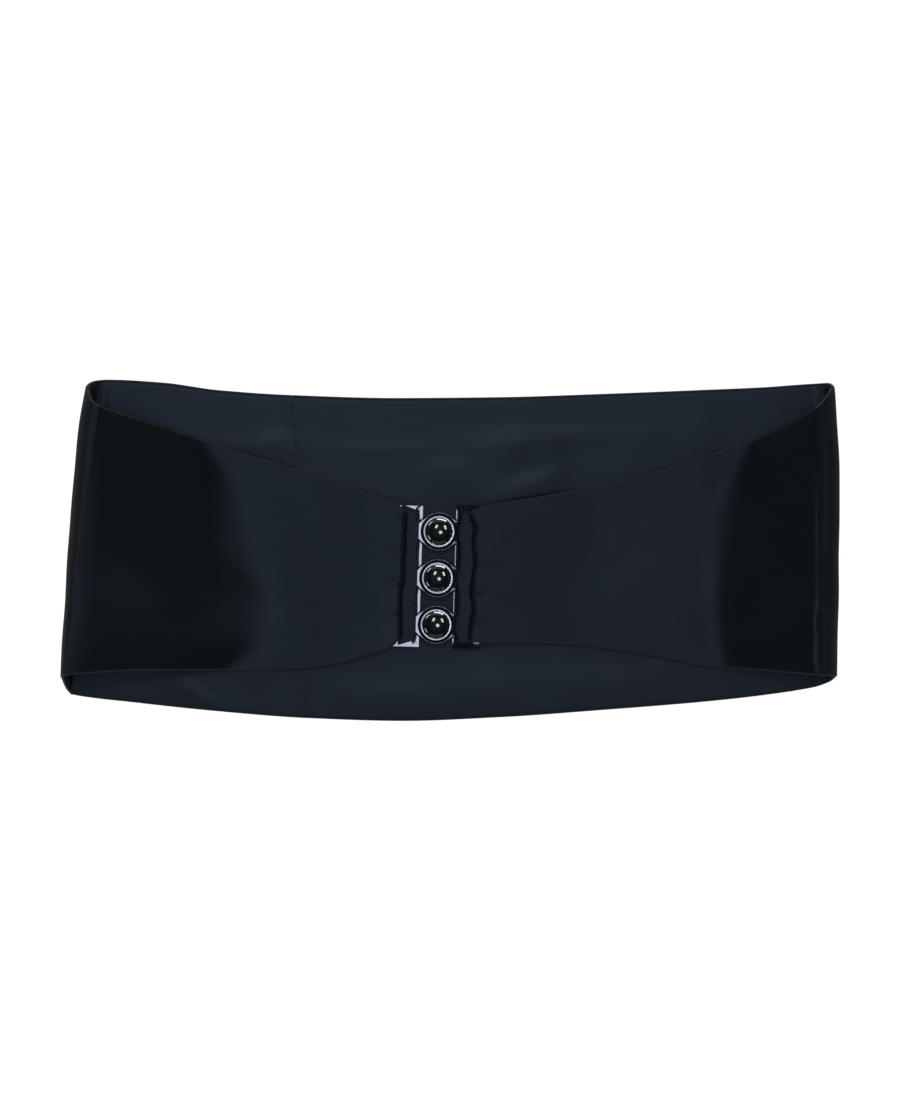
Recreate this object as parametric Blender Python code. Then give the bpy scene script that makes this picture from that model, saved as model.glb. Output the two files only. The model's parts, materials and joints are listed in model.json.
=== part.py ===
"""A wide satin cummerbund, fastened by a three-stone clasp and laid on its back.

The band is one loop of cloth. Its back lies flat on the surface, it turns over in a soft
rounded loop at each side, and its two tapering fronts lie over the back and meet at the
clasp. Metres, +Z up, +Y towards the upper edge of the band, origin under the middle.
"""

import math
from collections import namedtuple

import bmesh
import bpy
import numpy as np
from mathutils import Vector

# Cloth: layers counted inwards from the band's outer face
SHELL_WALL = 0.0015
LINING_WALL = 0.0010
PIECE_GAP = 0.0003
LINING_DEPTH = SHELL_WALL + PIECE_GAP
LINING_INSET = 0.0012
STACK = LINING_DEPTH + LINING_WALL

# Clasp: two frames side by side, tilted a little with the fronts that hold them
CLASP_X = -0.0059
CLASP_Y = -0.0122
CLASP_TILT = math.radians(1.8)
CLASP_HEIGHT = 0.0682
FRAME_NEAR = 0.0080
FRAME_FAR = 0.0208
BAR_WIDTH = 0.0027
BAR_THICK = 0.0024
BAR_BEVEL = 0.0005
WRAP_GAP = 0.0005

# Stone settings: a lugged plate with a round rim, hooked over both near bars
STONE_COUNT = 3
STONE_PITCH = 0.02225
STONE_SHIFT = -0.0010
PLATE_RADIUS = 0.0092
PLATE_THICK = 0.0014
LUG_REACH = FRAME_NEAR + BAR_WIDTH
LUG_HALF = 0.0037
HOOK_THICK = 0.0009
HOOK_RETURN = 0.0021
NOTCH_DEPTH = HOOK_THICK + PIECE_GAP
NOTCH_HALF = LUG_HALF + PIECE_GAP
RIM_OUTER = 0.0077
RIM_INNER = 0.00645
RIM_RISE = 0.0018
RIM_SINK = 0.0004
STONE_RADIUS = RIM_INNER - PIECE_GAP
STONE_GIRDLE = 0.0009
STONE_DOME = 0.0038
ROUND_STEPS = 36
DOME_STEPS = 6

# Heights above the surface, worked out from the layers
TAIL_Z = STACK + PIECE_GAP
BAR_Z = TAIL_Z + SHELL_WALL + WRAP_GAP
PLATE_Z = BAR_Z + BAR_THICK + PIECE_GAP
WRAP_RADIUS = BAR_THICK / 2 + WRAP_GAP + SHELL_WALL
WRAP_Z = BAR_Z + BAR_THICK / 2
OVER_BAR_Z = WRAP_Z + WRAP_RADIUS
FRONT_CLEARANCE = 0.0012
REST_Z = 2 * STACK + FRONT_CLEARANCE

# The front from the clasp outwards, measured from the clasp's middle
WRAP_CENTRE = FRAME_FAR - BAR_WIDTH + BAR_THICK / 2
TAIL_REACH = 0.0300
SETTLE_REACH = 0.0820
LINING_START = 0.0232

SideLoop = namedtuple("SideLoop", "edge height round_half touch bend_share crest_share bow pull")
LOOPS = {
    -1: SideLoop(0.1812, 0.0290, 0.0130, 0.0920, 0.30, 0.06, 0.0012, 0.0016),
    1: SideLoop(0.1844, 0.0240, 0.0110, 0.1285, 0.12, 0.08, 0.0008, 0.0020),
}
# How boxy the folds are above and below their widest place: 2 is an ellipse
FOLD_POWERS = (1.8, 2.3)
PULL_POWER = 8

# The band's outline. "at" is x on the fronts and the back, and the share of the turn on the
# folds. Top and bottom are the edges' y, and lean is how far a section tilts from upright.
Section = namedtuple("Section", "run at top bottom lean")
TILT = math.tan(CLASP_TILT)
SECTIONS = [
    Section("tail_left", 0.00, 0.0186, -0.0420, TILT),
    Section("wrap_left", 0.75, 0.0189, -0.0421, TILT),
    Section("wrap_left", 1.00, 0.0212, -0.0450, TILT),
    Section("front_left", -0.0300, 0.0236, -0.0473, TILT),
    Section("front_left", -0.0400, 0.0267, -0.0502, 0.032),
    Section("front_left", -0.0560, 0.0318, -0.0546, 0.036),
    Section("front_left", -0.0800, 0.0397, -0.0567, 0.045),
    Section("front_left", -0.1120, 0.0492, -0.0574, 0.058),
    Section("front_left", -0.1440, 0.0590, -0.0570, 0.070),
    Section("fold_left", 0.00, 0.0688, -0.0588, 0.074),
    Section("fold_left", 0.50, 0.0788, -0.0612, 0.074),
    Section("fold_left", 1.00, 0.0820, -0.0690, 0.070),
    Section("back", -0.1440, 0.0806, -0.0732, 0.040),
    Section("back", -0.1120, 0.0770, -0.0770, -0.005),
    Section("back", -0.0720, 0.0746, -0.0804, -0.043),
    Section("back", -0.0240, 0.0732, -0.0818, -0.020),
    Section("back", 0.0240, 0.0736, -0.0800, 0.000),
    Section("back", 0.0720, 0.0751, -0.0766, 0.000),
    Section("back", 0.1200, 0.0770, -0.0727, 0.002),
    Section("back", 0.1500, 0.0783, -0.0694, 0.004),
    Section("fold_right", 0.00, 0.0800, -0.0655, 0.005),
    Section("fold_right", 0.25, 0.0803, -0.0630, 0.005),
    Section("fold_right", 0.50, 0.0784, -0.0602, 0.005),
    Section("fold_right", 1.00, 0.0678, -0.0590, 0.006),
    Section("front_right", 0.1580, 0.0587, -0.0578, 0.008),
    Section("front_right", 0.1260, 0.0466, -0.0557, 0.012),
    Section("front_right", 0.0940, 0.0366, -0.0496, 0.018),
    Section("front_right", 0.0580, 0.0285, -0.0449, 0.025),
    Section("front_right", 0.0320, 0.0241, -0.0437, TILT),
    Section("front_right", 0.0180, 0.0212, -0.0442, TILT),
    Section("wrap_right", 0.00, 0.0194, -0.0440, TILT),
    Section("wrap_right", 0.25, 0.0178, -0.0434, TILT),
    Section("tail_right", 1.00, 0.0174, -0.0433, TILT),
]
SEAM_X = -0.0720

# Large soft creases: where each lies, its size, how far it turns from level, and its height
Crease = namedtuple("Crease", "face x y length width turn height")
CREASES = [
    Crease("front", -0.112, -0.040, 0.050, 0.016, 24, 0.0012),
    Crease("front", -0.140, 0.030, 0.046, 0.018, 70, -0.0012),
    Crease("front", 0.171, -0.042, 0.026, 0.007, 84, 0.0012),
    Crease("front", 0.150, 0.020, 0.050, 0.018, 95, -0.0010),
    Crease("lining", -0.030, 0.049, 0.078, 0.006, 1, 0.0007),
    Crease("lining", 0.034, 0.051, 0.030, 0.007, 8, 0.0008),
    Crease("lining", 0.052, 0.062, 0.060, 0.005, 2, 0.0006),
    Crease("lining", -0.118, -0.066, 0.020, 0.006, -40, 0.0007),
]
GATHERS_PER_END = 5
GATHER_HEIGHT = 0.00045
GATHER_LENGTH = 0.012

# How finely each run and each piece is divided
RUN_STEPS = {
    "tail": 2,
    "wrap": 10,
    "front": 18,
    "fold": 12,
    "back": 16,
}
SHELL_ROWS = 14
LINING_ROWS = 14
PATH_STEP = 0.00025

METAL = ("polished_metal", (0.62, 0.64, 0.68), 0.16, 1.0)
SATIN = ("satin", (0.010, 0.013, 0.020), 0.42, 0.0)
LINING = ("lining_satin", (0.014, 0.018, 0.027), 0.48, 0.0)
ONYX = ("black_stone", (0.004, 0.004, 0.005), 0.06, 0.0)


def clear_scene():
    """Remove everything that the file opened with."""
    for obj in list(bpy.data.objects):
        bpy.data.objects.remove(obj, do_unlink=True)


def material(look):
    """A material from its name, colour, roughness and metallic value."""
    name, colour, roughness, metallic = look
    found = bpy.data.materials.get(name)
    if found:
        return found
    made = bpy.data.materials.new(name)
    made.use_nodes = True
    made.diffuse_color = (*colour, 1.0)
    shader = made.node_tree.nodes["Principled BSDF"]
    shader.inputs["Base Color"].default_value = (*colour, 1.0)
    shader.inputs["Roughness"].default_value = roughness
    shader.inputs["Metallic"].default_value = metallic
    return made


def add_object(name, mesh, look):
    """An object of this mesh in the scene, with its material."""
    obj = bpy.data.objects.new(name, mesh)
    if not mesh.materials:
        mesh.materials.append(material(look))
    bpy.context.scene.collection.objects.link(obj)
    return obj


def finish_mesh(bm, name, smooth_angle=35):
    """Turn a bmesh into a mesh that faces outwards and is shaded smooth."""
    bmesh.ops.recalc_face_normals(bm, faces=bm.faces)
    mesh = bpy.data.meshes.new(name)
    bm.to_mesh(mesh)
    bm.free()
    mesh.shade_smooth()
    mesh.set_sharp_from_angle(angle=math.radians(smooth_angle))
    return mesh


def smoothstep(share):
    """A soft ramp from 0 to 1."""
    share = np.clip(share, 0.0, 1.0)
    return share * share * (3.0 - 2.0 * share)


def hermite(knots, values, at):
    """A smooth curve through the values at the knots, without loops between them."""
    knots = np.asarray(knots)
    values = np.asarray(values)
    slopes = np.diff(values) / np.diff(knots)
    inner = np.where(
        slopes[:-1] * slopes[1:] > 0.0,
        2.0 * slopes[:-1] * slopes[1:] / (slopes[:-1] + slopes[1:] + 1e-12),
        0.0,
    )
    inner = np.where(np.abs(slopes[:-1] + slopes[1:]) < 1e-9, 0.0, inner)
    tangents = np.concatenate([[slopes[0]], inner, [slopes[-1]]])
    k = np.clip(np.searchsorted(knots, at) - 1, 0, len(knots) - 2)
    width = knots[k + 1] - knots[k]
    t = np.clip((at - knots[k]) / width, 0.0, 1.0)
    return (
        values[k] * (1 + 2 * t) * (1 - t) ** 2
        + values[k + 1] * t * t * (3 - 2 * t)
        + width * tangents[k] * t * (1 - t) ** 2
        - width * tangents[k + 1] * t * t * (1 - t)
    )


def front_height(side, x):
    """Height of the front's outer face at x, from over the bar out to the loop's crest."""
    loop = LOOPS[side]
    reach = side * (x - CLASP_X)
    settle = smoothstep((reach - WRAP_CENTRE) / (SETTLE_REACH - WRAP_CENTRE))
    low = OVER_BAR_Z + (REST_Z - OVER_BAR_Z) * settle
    share = (side * x - loop.touch) / (loop.edge - loop.round_half - loop.touch)
    steps = np.linspace(0.0, 1.0, 200)
    slope = smoothstep(steps / loop.bend_share)
    slope = slope * smoothstep((1.0 - steps) / loop.crest_share)
    climb = np.concatenate([[0.0], np.cumsum(slope[1:] + slope[:-1])])
    rise = np.interp(np.clip(share, 0.0, 1.0), steps, climb / climb[-1])
    return low + (loop.height - REST_Z) * rise


def run_points(run, side, share):
    """x and z of the band's outer face along one run, from the tail towards the back."""
    loop = LOOPS[side]
    bar_x = CLASP_X + side * WRAP_CENTRE
    crest_x = side * (loop.edge - loop.round_half)
    if run == "tail":
        x = CLASP_X + side * (TAIL_REACH + (WRAP_CENTRE - TAIL_REACH) * share)
        return x, np.full_like(share, TAIL_Z)
    if run == "wrap":
        turn = math.pi * share
        x = bar_x - side * WRAP_RADIUS * np.sin(turn)
        return x, WRAP_Z - WRAP_RADIUS * np.cos(turn)
    if run == "front":
        x = bar_x + (crest_x - bar_x) * share
        return x, front_height(side, x)
    if run == "fold":
        sin, cos = np.sin(math.pi * share), np.cos(math.pi * share)
        power = np.where(cos > 0.0, *FOLD_POWERS)
        reach = (np.abs(sin) ** power + np.abs(cos) ** power) ** (-1.0 / power)
        x = crest_x + side * loop.round_half * reach * sin
        return x, loop.height / 2 * (1.0 + reach * cos)
    raise ValueError(run)


def half_loop(side):
    """The runs of one side from its tail to where its fold meets the back."""
    name = {-1: "left", 1: "right"}[side]
    found = []
    for run in ("tail", "wrap", "front", "fold"):
        share = np.linspace(0.0, 1.0, RUN_STEPS[run] + 1)
        if run == "front":
            share = front_shares(side)
        found.append((f"{run}_{name}", side, run, share))
    return found


def front_shares(side):
    """Where the front is divided: closely over the clasp, the bend and the crest."""
    loop = LOOPS[side]
    start = side * CLASP_X + WRAP_CENTRE
    end = loop.edge - loop.round_half
    settle = side * CLASP_X + SETTLE_REACH
    marks = [start, start + 0.0035, settle, loop.touch, end]
    counts = [2, 6, 2, RUN_STEPS["front"] - 10]
    places = [marks[0]]
    for low, high, count in zip(marks[:-1], marks[1:], counts):
        places += list(np.linspace(low, high, count + 1)[1:])
    return (np.array(places) - start) / (end - start)


def band_path():
    """Every station of the band from the left tail round to the right tail.

    Each station is (run, side, x, z, distance along the band). The stations of the two
    sides follow the same runs, the right ones backwards.
    """
    stations = []
    for name, side, run, share in half_loop(-1):
        x, z = run_points(run, side, share)
        stations += [(name, side, a, b) for a, b in zip(x, z)]
    left = LOOPS[-1].round_half - LOOPS[-1].edge
    right = LOOPS[1].edge - LOOPS[1].round_half
    for x in back_places(left, right):
        stations.append(("back", 0, x, 0.0))
    for name, side, run, share in reversed(half_loop(1)):
        x, z = run_points(run, side, share[::-1])
        stations += [(name, side, a, b) for a, b in zip(x, z)]
    kept = [stations[0]]
    for station in stations[1:]:
        step = math.hypot(station[2] - kept[-1][2], station[3] - kept[-1][3])
        if step > PATH_STEP:
            kept.append(station)
    return kept


def back_places(left, right):
    """x of the back's sections, with one at the seam."""
    steps = RUN_STEPS["back"]
    short = max(2, round(steps * (SEAM_X - left) / (right - left)))
    return np.concatenate(
        [np.linspace(left, SEAM_X, short + 1), np.linspace(SEAM_X, right, steps - short + 1)[1:]]
    )


def along(points):
    """Distance of each point along a path of x and z."""
    steps = np.hypot(np.diff(points[:, 0]), np.diff(points[:, 1]))
    return np.concatenate([[0.0], np.cumsum(steps)])


def section_distance(section, path, distances):
    """How far along the band a row of the outline table lies."""
    on_run = [i for i, station in enumerate(path) if station[0] == section.run]
    first, last = on_run[0], on_run[-1]
    if section.run.startswith(("front", "back")):
        x = np.array([path[i][2] for i in on_run])
        order = np.argsort(x)
        return float(np.interp(section.at, x[order], distances[on_run][order]))
    return float(distances[first] + section.at * (distances[last] - distances[first]))


def inward_normals(points):
    """Unit normals that point into the loop, from the path's own direction."""
    ahead = np.vstack([points[1:], points[-1:]])
    behind = np.vstack([points[:1], points[:-1]])
    way = ahead - behind
    way /= np.linalg.norm(way, axis=1)[:, None]
    return np.stack([-way[:, 1], way[:, 0]], axis=1)


def crease_relief(face, x, y):
    """How far the creases of this face lift a point."""
    lift = 0.0
    for crease in CREASES:
        if crease.face != face:
            continue
        turn = math.radians(crease.turn)
        across = (x - crease.x, y - crease.y)
        far = across[0] * math.cos(turn) + across[1] * math.sin(turn)
        off = -across[0] * math.sin(turn) + across[1] * math.cos(turn)
        lift += crease.height * math.exp(
            -((far / crease.length * 2) ** 2) - (off / crease.width * 2) ** 2
        )
    return lift


def gather_relief(x, share, side):
    """Small puckers that run out from where a front is drawn in round its bar."""
    reach = side * (x - CLASP_X) - WRAP_CENTRE
    fade = math.exp(-max(reach, 0.0) / GATHER_LENGTH)
    wave = 0.5 + 0.5 * math.cos(2 * math.pi * GATHERS_PER_END * share + 0.8 * side)
    return GATHER_HEIGHT * fade * wave * math.sin(math.pi * share)


class Band:
    """The band's outer face, as stations along it and shares across it."""

    def __init__(self):
        self.path = band_path()
        self.points = np.array([[station[2], station[3]] for station in self.path])
        self.distances = along(self.points)
        self.normals = inward_normals(self.points)
        knots = [section_distance(row, self.path, self.distances) for row in SECTIONS]
        self.top = hermite(knots, [row.top for row in SECTIONS], self.distances)
        self.bottom = hermite(knots, [row.bottom for row in SECTIONS], self.distances)
        self.lean = hermite(knots, [row.lean for row in SECTIONS], self.distances)

    def seam_station(self):
        """The station that lies at the seam."""
        on_back = [i for i, row in enumerate(self.path) if row[0] == "back"]
        return min(on_back, key=lambda i: abs(self.path[i][2] - SEAM_X))

    def point(self, i, share, depth, inset=0.0, shift=0.0):
        """A point at station i, this share of the way up and this deep in the cloth."""
        run, side, x, z = self.path[i]
        low = self.bottom[i] + inset
        high = self.top[i] - inset
        y = low + (high - low) * share
        lift = self.relief(run, side, x, y, share)
        normal = self.normals[i]
        x = x + shift + self.lean[i] * (y - CLASP_Y) + self.fold_shape(run, side, share)
        return Vector((x + normal[0] * (depth - lift), y, z + normal[1] * (depth - lift)))

    def relief(self, run, side, x, y, share):
        """How far creases and gathers lift the outer face here."""
        if run.startswith("front"):
            return crease_relief("front", x, y) + gather_relief(x, share, side)
        return 0.0

    def fold_shape(self, run, side, share):
        """The fold's line bows outwards and is drawn in at the upper corner."""
        if side == 0 or run.startswith(("tail", "wrap")):
            return 0.0
        loop = LOOPS[side]
        bow = loop.bow * (1.0 - (2.0 * share - 1.0) ** 2) - loop.pull * share**PULL_POWER
        return side * bow * (1.0 if run.startswith("fold") else 0.0)


def sheet_mesh(name, rows):
    """An open sheet from rows of points, ready to be given its thickness."""
    bm = bmesh.new()
    grid = [[bm.verts.new(point) for point in row] for row in rows]
    for low, high in zip(grid[:-1], grid[1:]):
        for j in range(len(low) - 1):
            bm.faces.new((low[j], low[j + 1], high[j + 1], high[j]))
    mesh = bpy.data.meshes.new(name)
    bm.to_mesh(mesh)
    bm.free()
    mesh.shade_smooth()
    return mesh


def cloth_wall(name, rows, thickness, look):
    """A cloth piece: a sheet of its outer points, thickened inwards."""
    obj = add_object(name, sheet_mesh(name, rows), look)
    wall = obj.modifiers.new("wall", "SOLIDIFY")
    wall.thickness = thickness
    wall.offset = -1.0
    wall.use_even_offset = True
    wall.use_rim = True
    return obj


def piece_rows(band, first, last, count, depth, inset=0.0, seam_side=0, relief=None):
    """Rows of points for the stations from first to last."""
    rows = []
    for i in range(first, last + 1):
        at_seam = seam_side and i in (first, last) and band.path[i][0] == "back"
        shift = seam_side * PIECE_GAP / 2 if at_seam else 0.0
        row = []
        for j in range(count + 1):
            point = band.point(i, j / count, depth, inset, shift)
            if relief and band.path[i][0] == "back":
                point.z += relief("lining", point.x, point.y)
            row.append(point)
        rows.append(row)
    return rows


def lining_ends(band):
    """The stations where the lining starts and ends, just beyond the clasp's bars."""
    fronts = [
        i
        for i, (run, side, x, _) in enumerate(band.path)
        if run.startswith("front") and side * (x - CLASP_X) > LINING_START
    ]
    return fronts[0], fronts[-1]


def make_cloth():
    """The satin shell and its lining, each in a left and a right piece."""
    band = Band()
    seam = band.seam_station()
    end = len(band.path) - 1
    for name, first, last, side in (("left", 0, seam, -1), ("right", seam, end, 1)):
        rows = piece_rows(band, first, last, SHELL_ROWS, 0.0, seam_side=side)
        cloth_wall(f"shell_{name}", rows, SHELL_WALL, SATIN)
    start, stop = lining_ends(band)
    for name, first, last, side in (("left", start, seam, -1), ("right", seam, stop, 1)):
        rows = piece_rows(
            band, first, last, LINING_ROWS, LINING_DEPTH, LINING_INSET, side, crease_relief
        )
        cloth_wall(f"lining_{name}", rows, LINING_WALL, LINING)


def extrude_outline(outlines, thickness, name, base_z=0.0):
    """A flat plate from an outer outline and any holes in it."""
    bm = bmesh.new()
    edges = []
    for outline in outlines:
        ring = [bm.verts.new((x, y, base_z)) for x, y in outline]
        for a, b in zip(ring, ring[1:] + ring[:1]):
            edges.append(bm.edges.new((a, b)))
    bmesh.ops.triangle_fill(bm, edges=edges, use_beauty=True)
    grown = bmesh.ops.extrude_face_region(bm, geom=list(bm.faces))
    moved = [item for item in grown["geom"] if isinstance(item, bmesh.types.BMVert)]
    bmesh.ops.translate(bm, verts=moved, vec=(0.0, 0.0, thickness))
    return finish_mesh(bm, name, 30)


def stone_places():
    """The stones' places along the clasp, top first."""
    middle = (STONE_COUNT - 1) / 2
    return [STONE_SHIFT + (middle - i) * STONE_PITCH for i in range(STONE_COUNT)]


def slot_outline():
    """The slot that the cloth passes through, with a notch for each hook in its near side."""
    half = CLASP_HEIGHT / 2 - BAR_WIDTH
    near = FRAME_NEAR + BAR_WIDTH
    far = FRAME_FAR - BAR_WIDTH
    outline = [(far, half), (far, -half), (near, -half)]
    for y in reversed(stone_places()):
        outline += [
            (near, y - NOTCH_HALF),
            (near - NOTCH_DEPTH, y - NOTCH_HALF),
            (near - NOTCH_DEPTH, y + NOTCH_HALF),
            (near, y + NOTCH_HALF),
        ]
    return outline + [(near, half)]


def place_on_clasp(obj):
    """Put an object that is modelled about the clasp's middle in its place."""
    obj.location = (CLASP_X, CLASP_Y, 0.0)
    obj.rotation_euler = (0.0, 0.0, -CLASP_TILT)
    return obj


def make_frame(name, side):
    """One half's frame: near bar, two arms and the far bar that the cloth goes round."""
    half = CLASP_HEIGHT / 2
    border = [(FRAME_NEAR, half), (FRAME_FAR, half), (FRAME_FAR, -half), (FRAME_NEAR, -half)]
    outlines = [[(side * x, y) for x, y in line] for line in (border, slot_outline())]
    mesh = extrude_outline(outlines, BAR_THICK, name, BAR_Z)
    frame = place_on_clasp(add_object(name, mesh, METAL))
    bevel = frame.modifiers.new("soft_edges", "BEVEL")
    bevel.width = BAR_BEVEL
    bevel.segments = 2
    bevel.limit_method = "ANGLE"
    bevel.angle_limit = math.radians(40)
    return frame


def plate_outline():
    """A round plate drawn out to a lug at each side, as one convex outline."""
    tip = (LUG_REACH, LUG_HALF)
    distance = math.hypot(*tip)
    meet = math.atan2(tip[1], tip[0]) + math.acos(PLATE_RADIUS / distance)
    steps = ROUND_STEPS // 4
    quarter = [
        (PLATE_RADIUS * math.cos(a), PLATE_RADIUS * math.sin(a))
        for a in np.linspace(meet, math.pi / 2, steps)
    ]
    right_top = [tip] + quarter[:-1]
    top = right_top + [quarter[-1]] + [(-x, y) for x, y in reversed(right_top)]
    return top + [(-x, -y) for x, y in top]


def turned(profile, steps, name):
    """A solid turned about Z from a closed profile of radius and height."""
    bm = bmesh.new()
    verts = [bm.verts.new((radius, 0.0, z)) for radius, z in profile]
    edges = [bm.edges.new(pair) for pair in zip(verts, verts[1:] + verts[:1])]
    bmesh.ops.spin(
        bm, geom=verts + edges, axis=(0, 0, 1), cent=(0, 0, 0), angle=2 * math.pi,
        steps=steps, use_merge=True,
    )
    bmesh.ops.remove_doubles(bm, verts=bm.verts, dist=1e-7)
    return finish_mesh(bm, name, 40)


def rim_mesh():
    """The round rim that holds a stone, sunk a little into its plate."""
    base = PLATE_Z + PLATE_THICK
    top = base + RIM_RISE
    soft = (RIM_OUTER - RIM_INNER) / 3
    profile = [
        (RIM_INNER, base - RIM_SINK),
        (RIM_OUTER, base - RIM_SINK),
        (RIM_OUTER, top - soft),
        (RIM_OUTER - soft, top),
        (RIM_INNER + soft, top),
        (RIM_INNER, top - soft),
    ]
    return turned(profile, ROUND_STEPS, "rim")


def hook_profile():
    """The open hook: down past the near bar and a little way back under it."""
    bottom = BAR_Z - PIECE_GAP - HOOK_THICK
    under = BAR_Z - PIECE_GAP
    top = PLATE_Z + PLATE_THICK / 2
    leg = LUG_REACH - HOOK_THICK
    back = LUG_REACH - HOOK_RETURN
    return [(LUG_REACH, bottom), (LUG_REACH, top), (leg, top), (leg, under), (back, under), (back, bottom)]


def eye_profile():
    """The closed eye: all the way round the near bar, so the setting stays on that half."""
    *hook, _, _ = hook_profile()
    bottom, under, top = hook[0][1], hook[3][1], hook[1][1]
    inner = FRAME_NEAR - PIECE_GAP
    return hook + [(inner, under), (inner, top), (inner - HOOK_THICK, top), (inner - HOOK_THICK, bottom)]


def hook_mesh(side, profile):
    """A hook or an eye at one side, as wide as the lug above it."""
    profile = [(side * x, z) for x, z in profile]
    bm = bmesh.new()
    face = bm.faces.new([bm.verts.new((x, -LUG_HALF, z)) for x, z in profile])
    grown = bmesh.ops.extrude_face_region(bm, geom=[face])
    moved = [item for item in grown["geom"] if isinstance(item, bmesh.types.BMVert)]
    bmesh.ops.translate(bm, verts=moved, vec=(0.0, 2 * LUG_HALF, 0.0))
    return finish_mesh(bm, "hook", 30)


def setting_mesh():
    """Plate, rim and both hooks joined into one casting, as a mesh."""
    plate = add_object("plate", extrude_outline([plate_outline()], PLATE_THICK, "plate", PLATE_Z), METAL)
    helpers = []
    for mesh in (rim_mesh(), hook_mesh(-1, hook_profile()), hook_mesh(1, eye_profile())):
        helper = add_object("helper", mesh, METAL)
        helper.hide_render = True
        helper.display_type = "WIRE"
        helpers.append(helper)
        join = plate.modifiers.new("join", "BOOLEAN")
        join.operation = "UNION"
        join.object = helper
    graph = bpy.context.evaluated_depsgraph_get()
    joined = bpy.data.meshes.new_from_object(plate.evaluated_get(graph))
    joined.name = "setting"
    for obj in [plate, *helpers]:
        bpy.data.objects.remove(obj, do_unlink=True)
    joined.shade_smooth()
    joined.set_sharp_from_angle(angle=math.radians(30))
    return joined


def stone_mesh():
    """A black cabochon: flat below, a short girdle, and a round dome."""
    base = PLATE_Z + PLATE_THICK + PIECE_GAP
    girdle = base + STONE_GIRDLE
    bm = bmesh.new()
    rings = []
    levels = [(STONE_RADIUS, base), (STONE_RADIUS, girdle)]
    for i in range(1, DOME_STEPS):
        turn = math.pi / 2 * i / DOME_STEPS
        levels.append((STONE_RADIUS * math.cos(turn), girdle + STONE_DOME * math.sin(turn)))
    for radius, z in levels:
        turns = np.linspace(0.0, 2 * math.pi, ROUND_STEPS, endpoint=False)
        rings.append(
            [bm.verts.new((radius * math.cos(a), radius * math.sin(a), z)) for a in turns]
        )
    for low, high in zip(rings[:-1], rings[1:]):
        for j in range(ROUND_STEPS):
            k = (j + 1) % ROUND_STEPS
            bm.faces.new((low[j], low[k], high[k], high[j]))
    bm.faces.new(rings[0])
    tip = bm.verts.new((0.0, 0.0, girdle + STONE_DOME))
    for j in range(ROUND_STEPS):
        bm.faces.new((rings[-1][j], rings[-1][(j + 1) % ROUND_STEPS], tip))
    return finish_mesh(bm, "stone", 40)


def make_clasp():
    """Two frames, and three settings with their stones that hook them together."""
    make_frame("clasp_frame_left", -1)
    make_frame("clasp_frame_right", 1)
    setting = setting_mesh()
    stone = stone_mesh()
    for level, y in zip(("top", "middle", "bottom"), stone_places()):
        for kind, mesh, look in (("setting", setting, METAL), ("stone", stone, ONYX)):
            piece = place_on_clasp(add_object(f"{kind}_{level}", mesh, look))
            piece.location.x += y * math.sin(CLASP_TILT)
            piece.location.y += y * math.cos(CLASP_TILT)


def centre_on_origin():
    """Move everything so that the whole stands over the origin."""
    bpy.context.view_layer.update()
    graph = bpy.context.evaluated_depsgraph_get()
    objects = list(bpy.context.scene.objects)
    corners = np.array(
        [obj.matrix_world @ Vector(c) for obj in objects for c in obj.evaluated_get(graph).bound_box]
    )
    middle = (corners.min(axis=0) + corners.max(axis=0)) / 2
    for obj in objects:
        obj.location.x -= middle[0]
        obj.location.y -= middle[1]


clear_scene()
make_cloth()
make_clasp()
centre_on_origin()
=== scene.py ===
"""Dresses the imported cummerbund: satin shell, lining, stitches, clasp, stones and studio.

The band's surface is worked out here from the same driving sizes as its solids, on a finer
grid, so that it can carry creases, puckers, turned edges and a seam. Metres, +Z up, +Y
towards the band's upper edge.
"""

import json
import logging
import math
from dataclasses import dataclass, field
from enum import Enum

import bmesh
import bpy
import numpy as np
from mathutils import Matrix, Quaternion, Vector

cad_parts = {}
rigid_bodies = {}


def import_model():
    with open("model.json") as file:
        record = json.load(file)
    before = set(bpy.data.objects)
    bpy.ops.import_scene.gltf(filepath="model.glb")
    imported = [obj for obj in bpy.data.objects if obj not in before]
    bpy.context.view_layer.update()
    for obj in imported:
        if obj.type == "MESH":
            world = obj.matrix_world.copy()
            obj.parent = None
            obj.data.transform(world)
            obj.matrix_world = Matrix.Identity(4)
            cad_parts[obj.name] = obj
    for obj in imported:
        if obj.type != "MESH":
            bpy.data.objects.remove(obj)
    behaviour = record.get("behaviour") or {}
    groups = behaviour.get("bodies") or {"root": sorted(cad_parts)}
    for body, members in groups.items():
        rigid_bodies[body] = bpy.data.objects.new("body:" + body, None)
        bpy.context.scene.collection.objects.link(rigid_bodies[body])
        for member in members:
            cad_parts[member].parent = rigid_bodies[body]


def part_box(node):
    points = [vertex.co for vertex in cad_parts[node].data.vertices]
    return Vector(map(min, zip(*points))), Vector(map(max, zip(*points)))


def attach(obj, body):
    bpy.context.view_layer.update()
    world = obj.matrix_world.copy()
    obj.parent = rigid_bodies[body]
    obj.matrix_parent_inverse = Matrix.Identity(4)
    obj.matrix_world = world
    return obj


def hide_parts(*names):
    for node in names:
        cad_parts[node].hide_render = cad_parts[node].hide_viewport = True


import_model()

LOG = logging.getLogger("cummerbund")
BODY = "root"
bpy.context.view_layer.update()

# The photograph's height in pixels, how much of the table a pixel covers, and the camera's height
PHOTO_HIGH = 1101
PIXEL = 0.00048
CAMERA_DISTANCE = 1.35

# Cloth layers, counted inwards from the band's outer face
SHELL_WALL = 0.0015
LINING_WALL = 0.0010
PIECE_GAP = 0.0003
LINING_DEPTH = SHELL_WALL + PIECE_GAP
STACK = LINING_DEPTH + LINING_WALL

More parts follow.
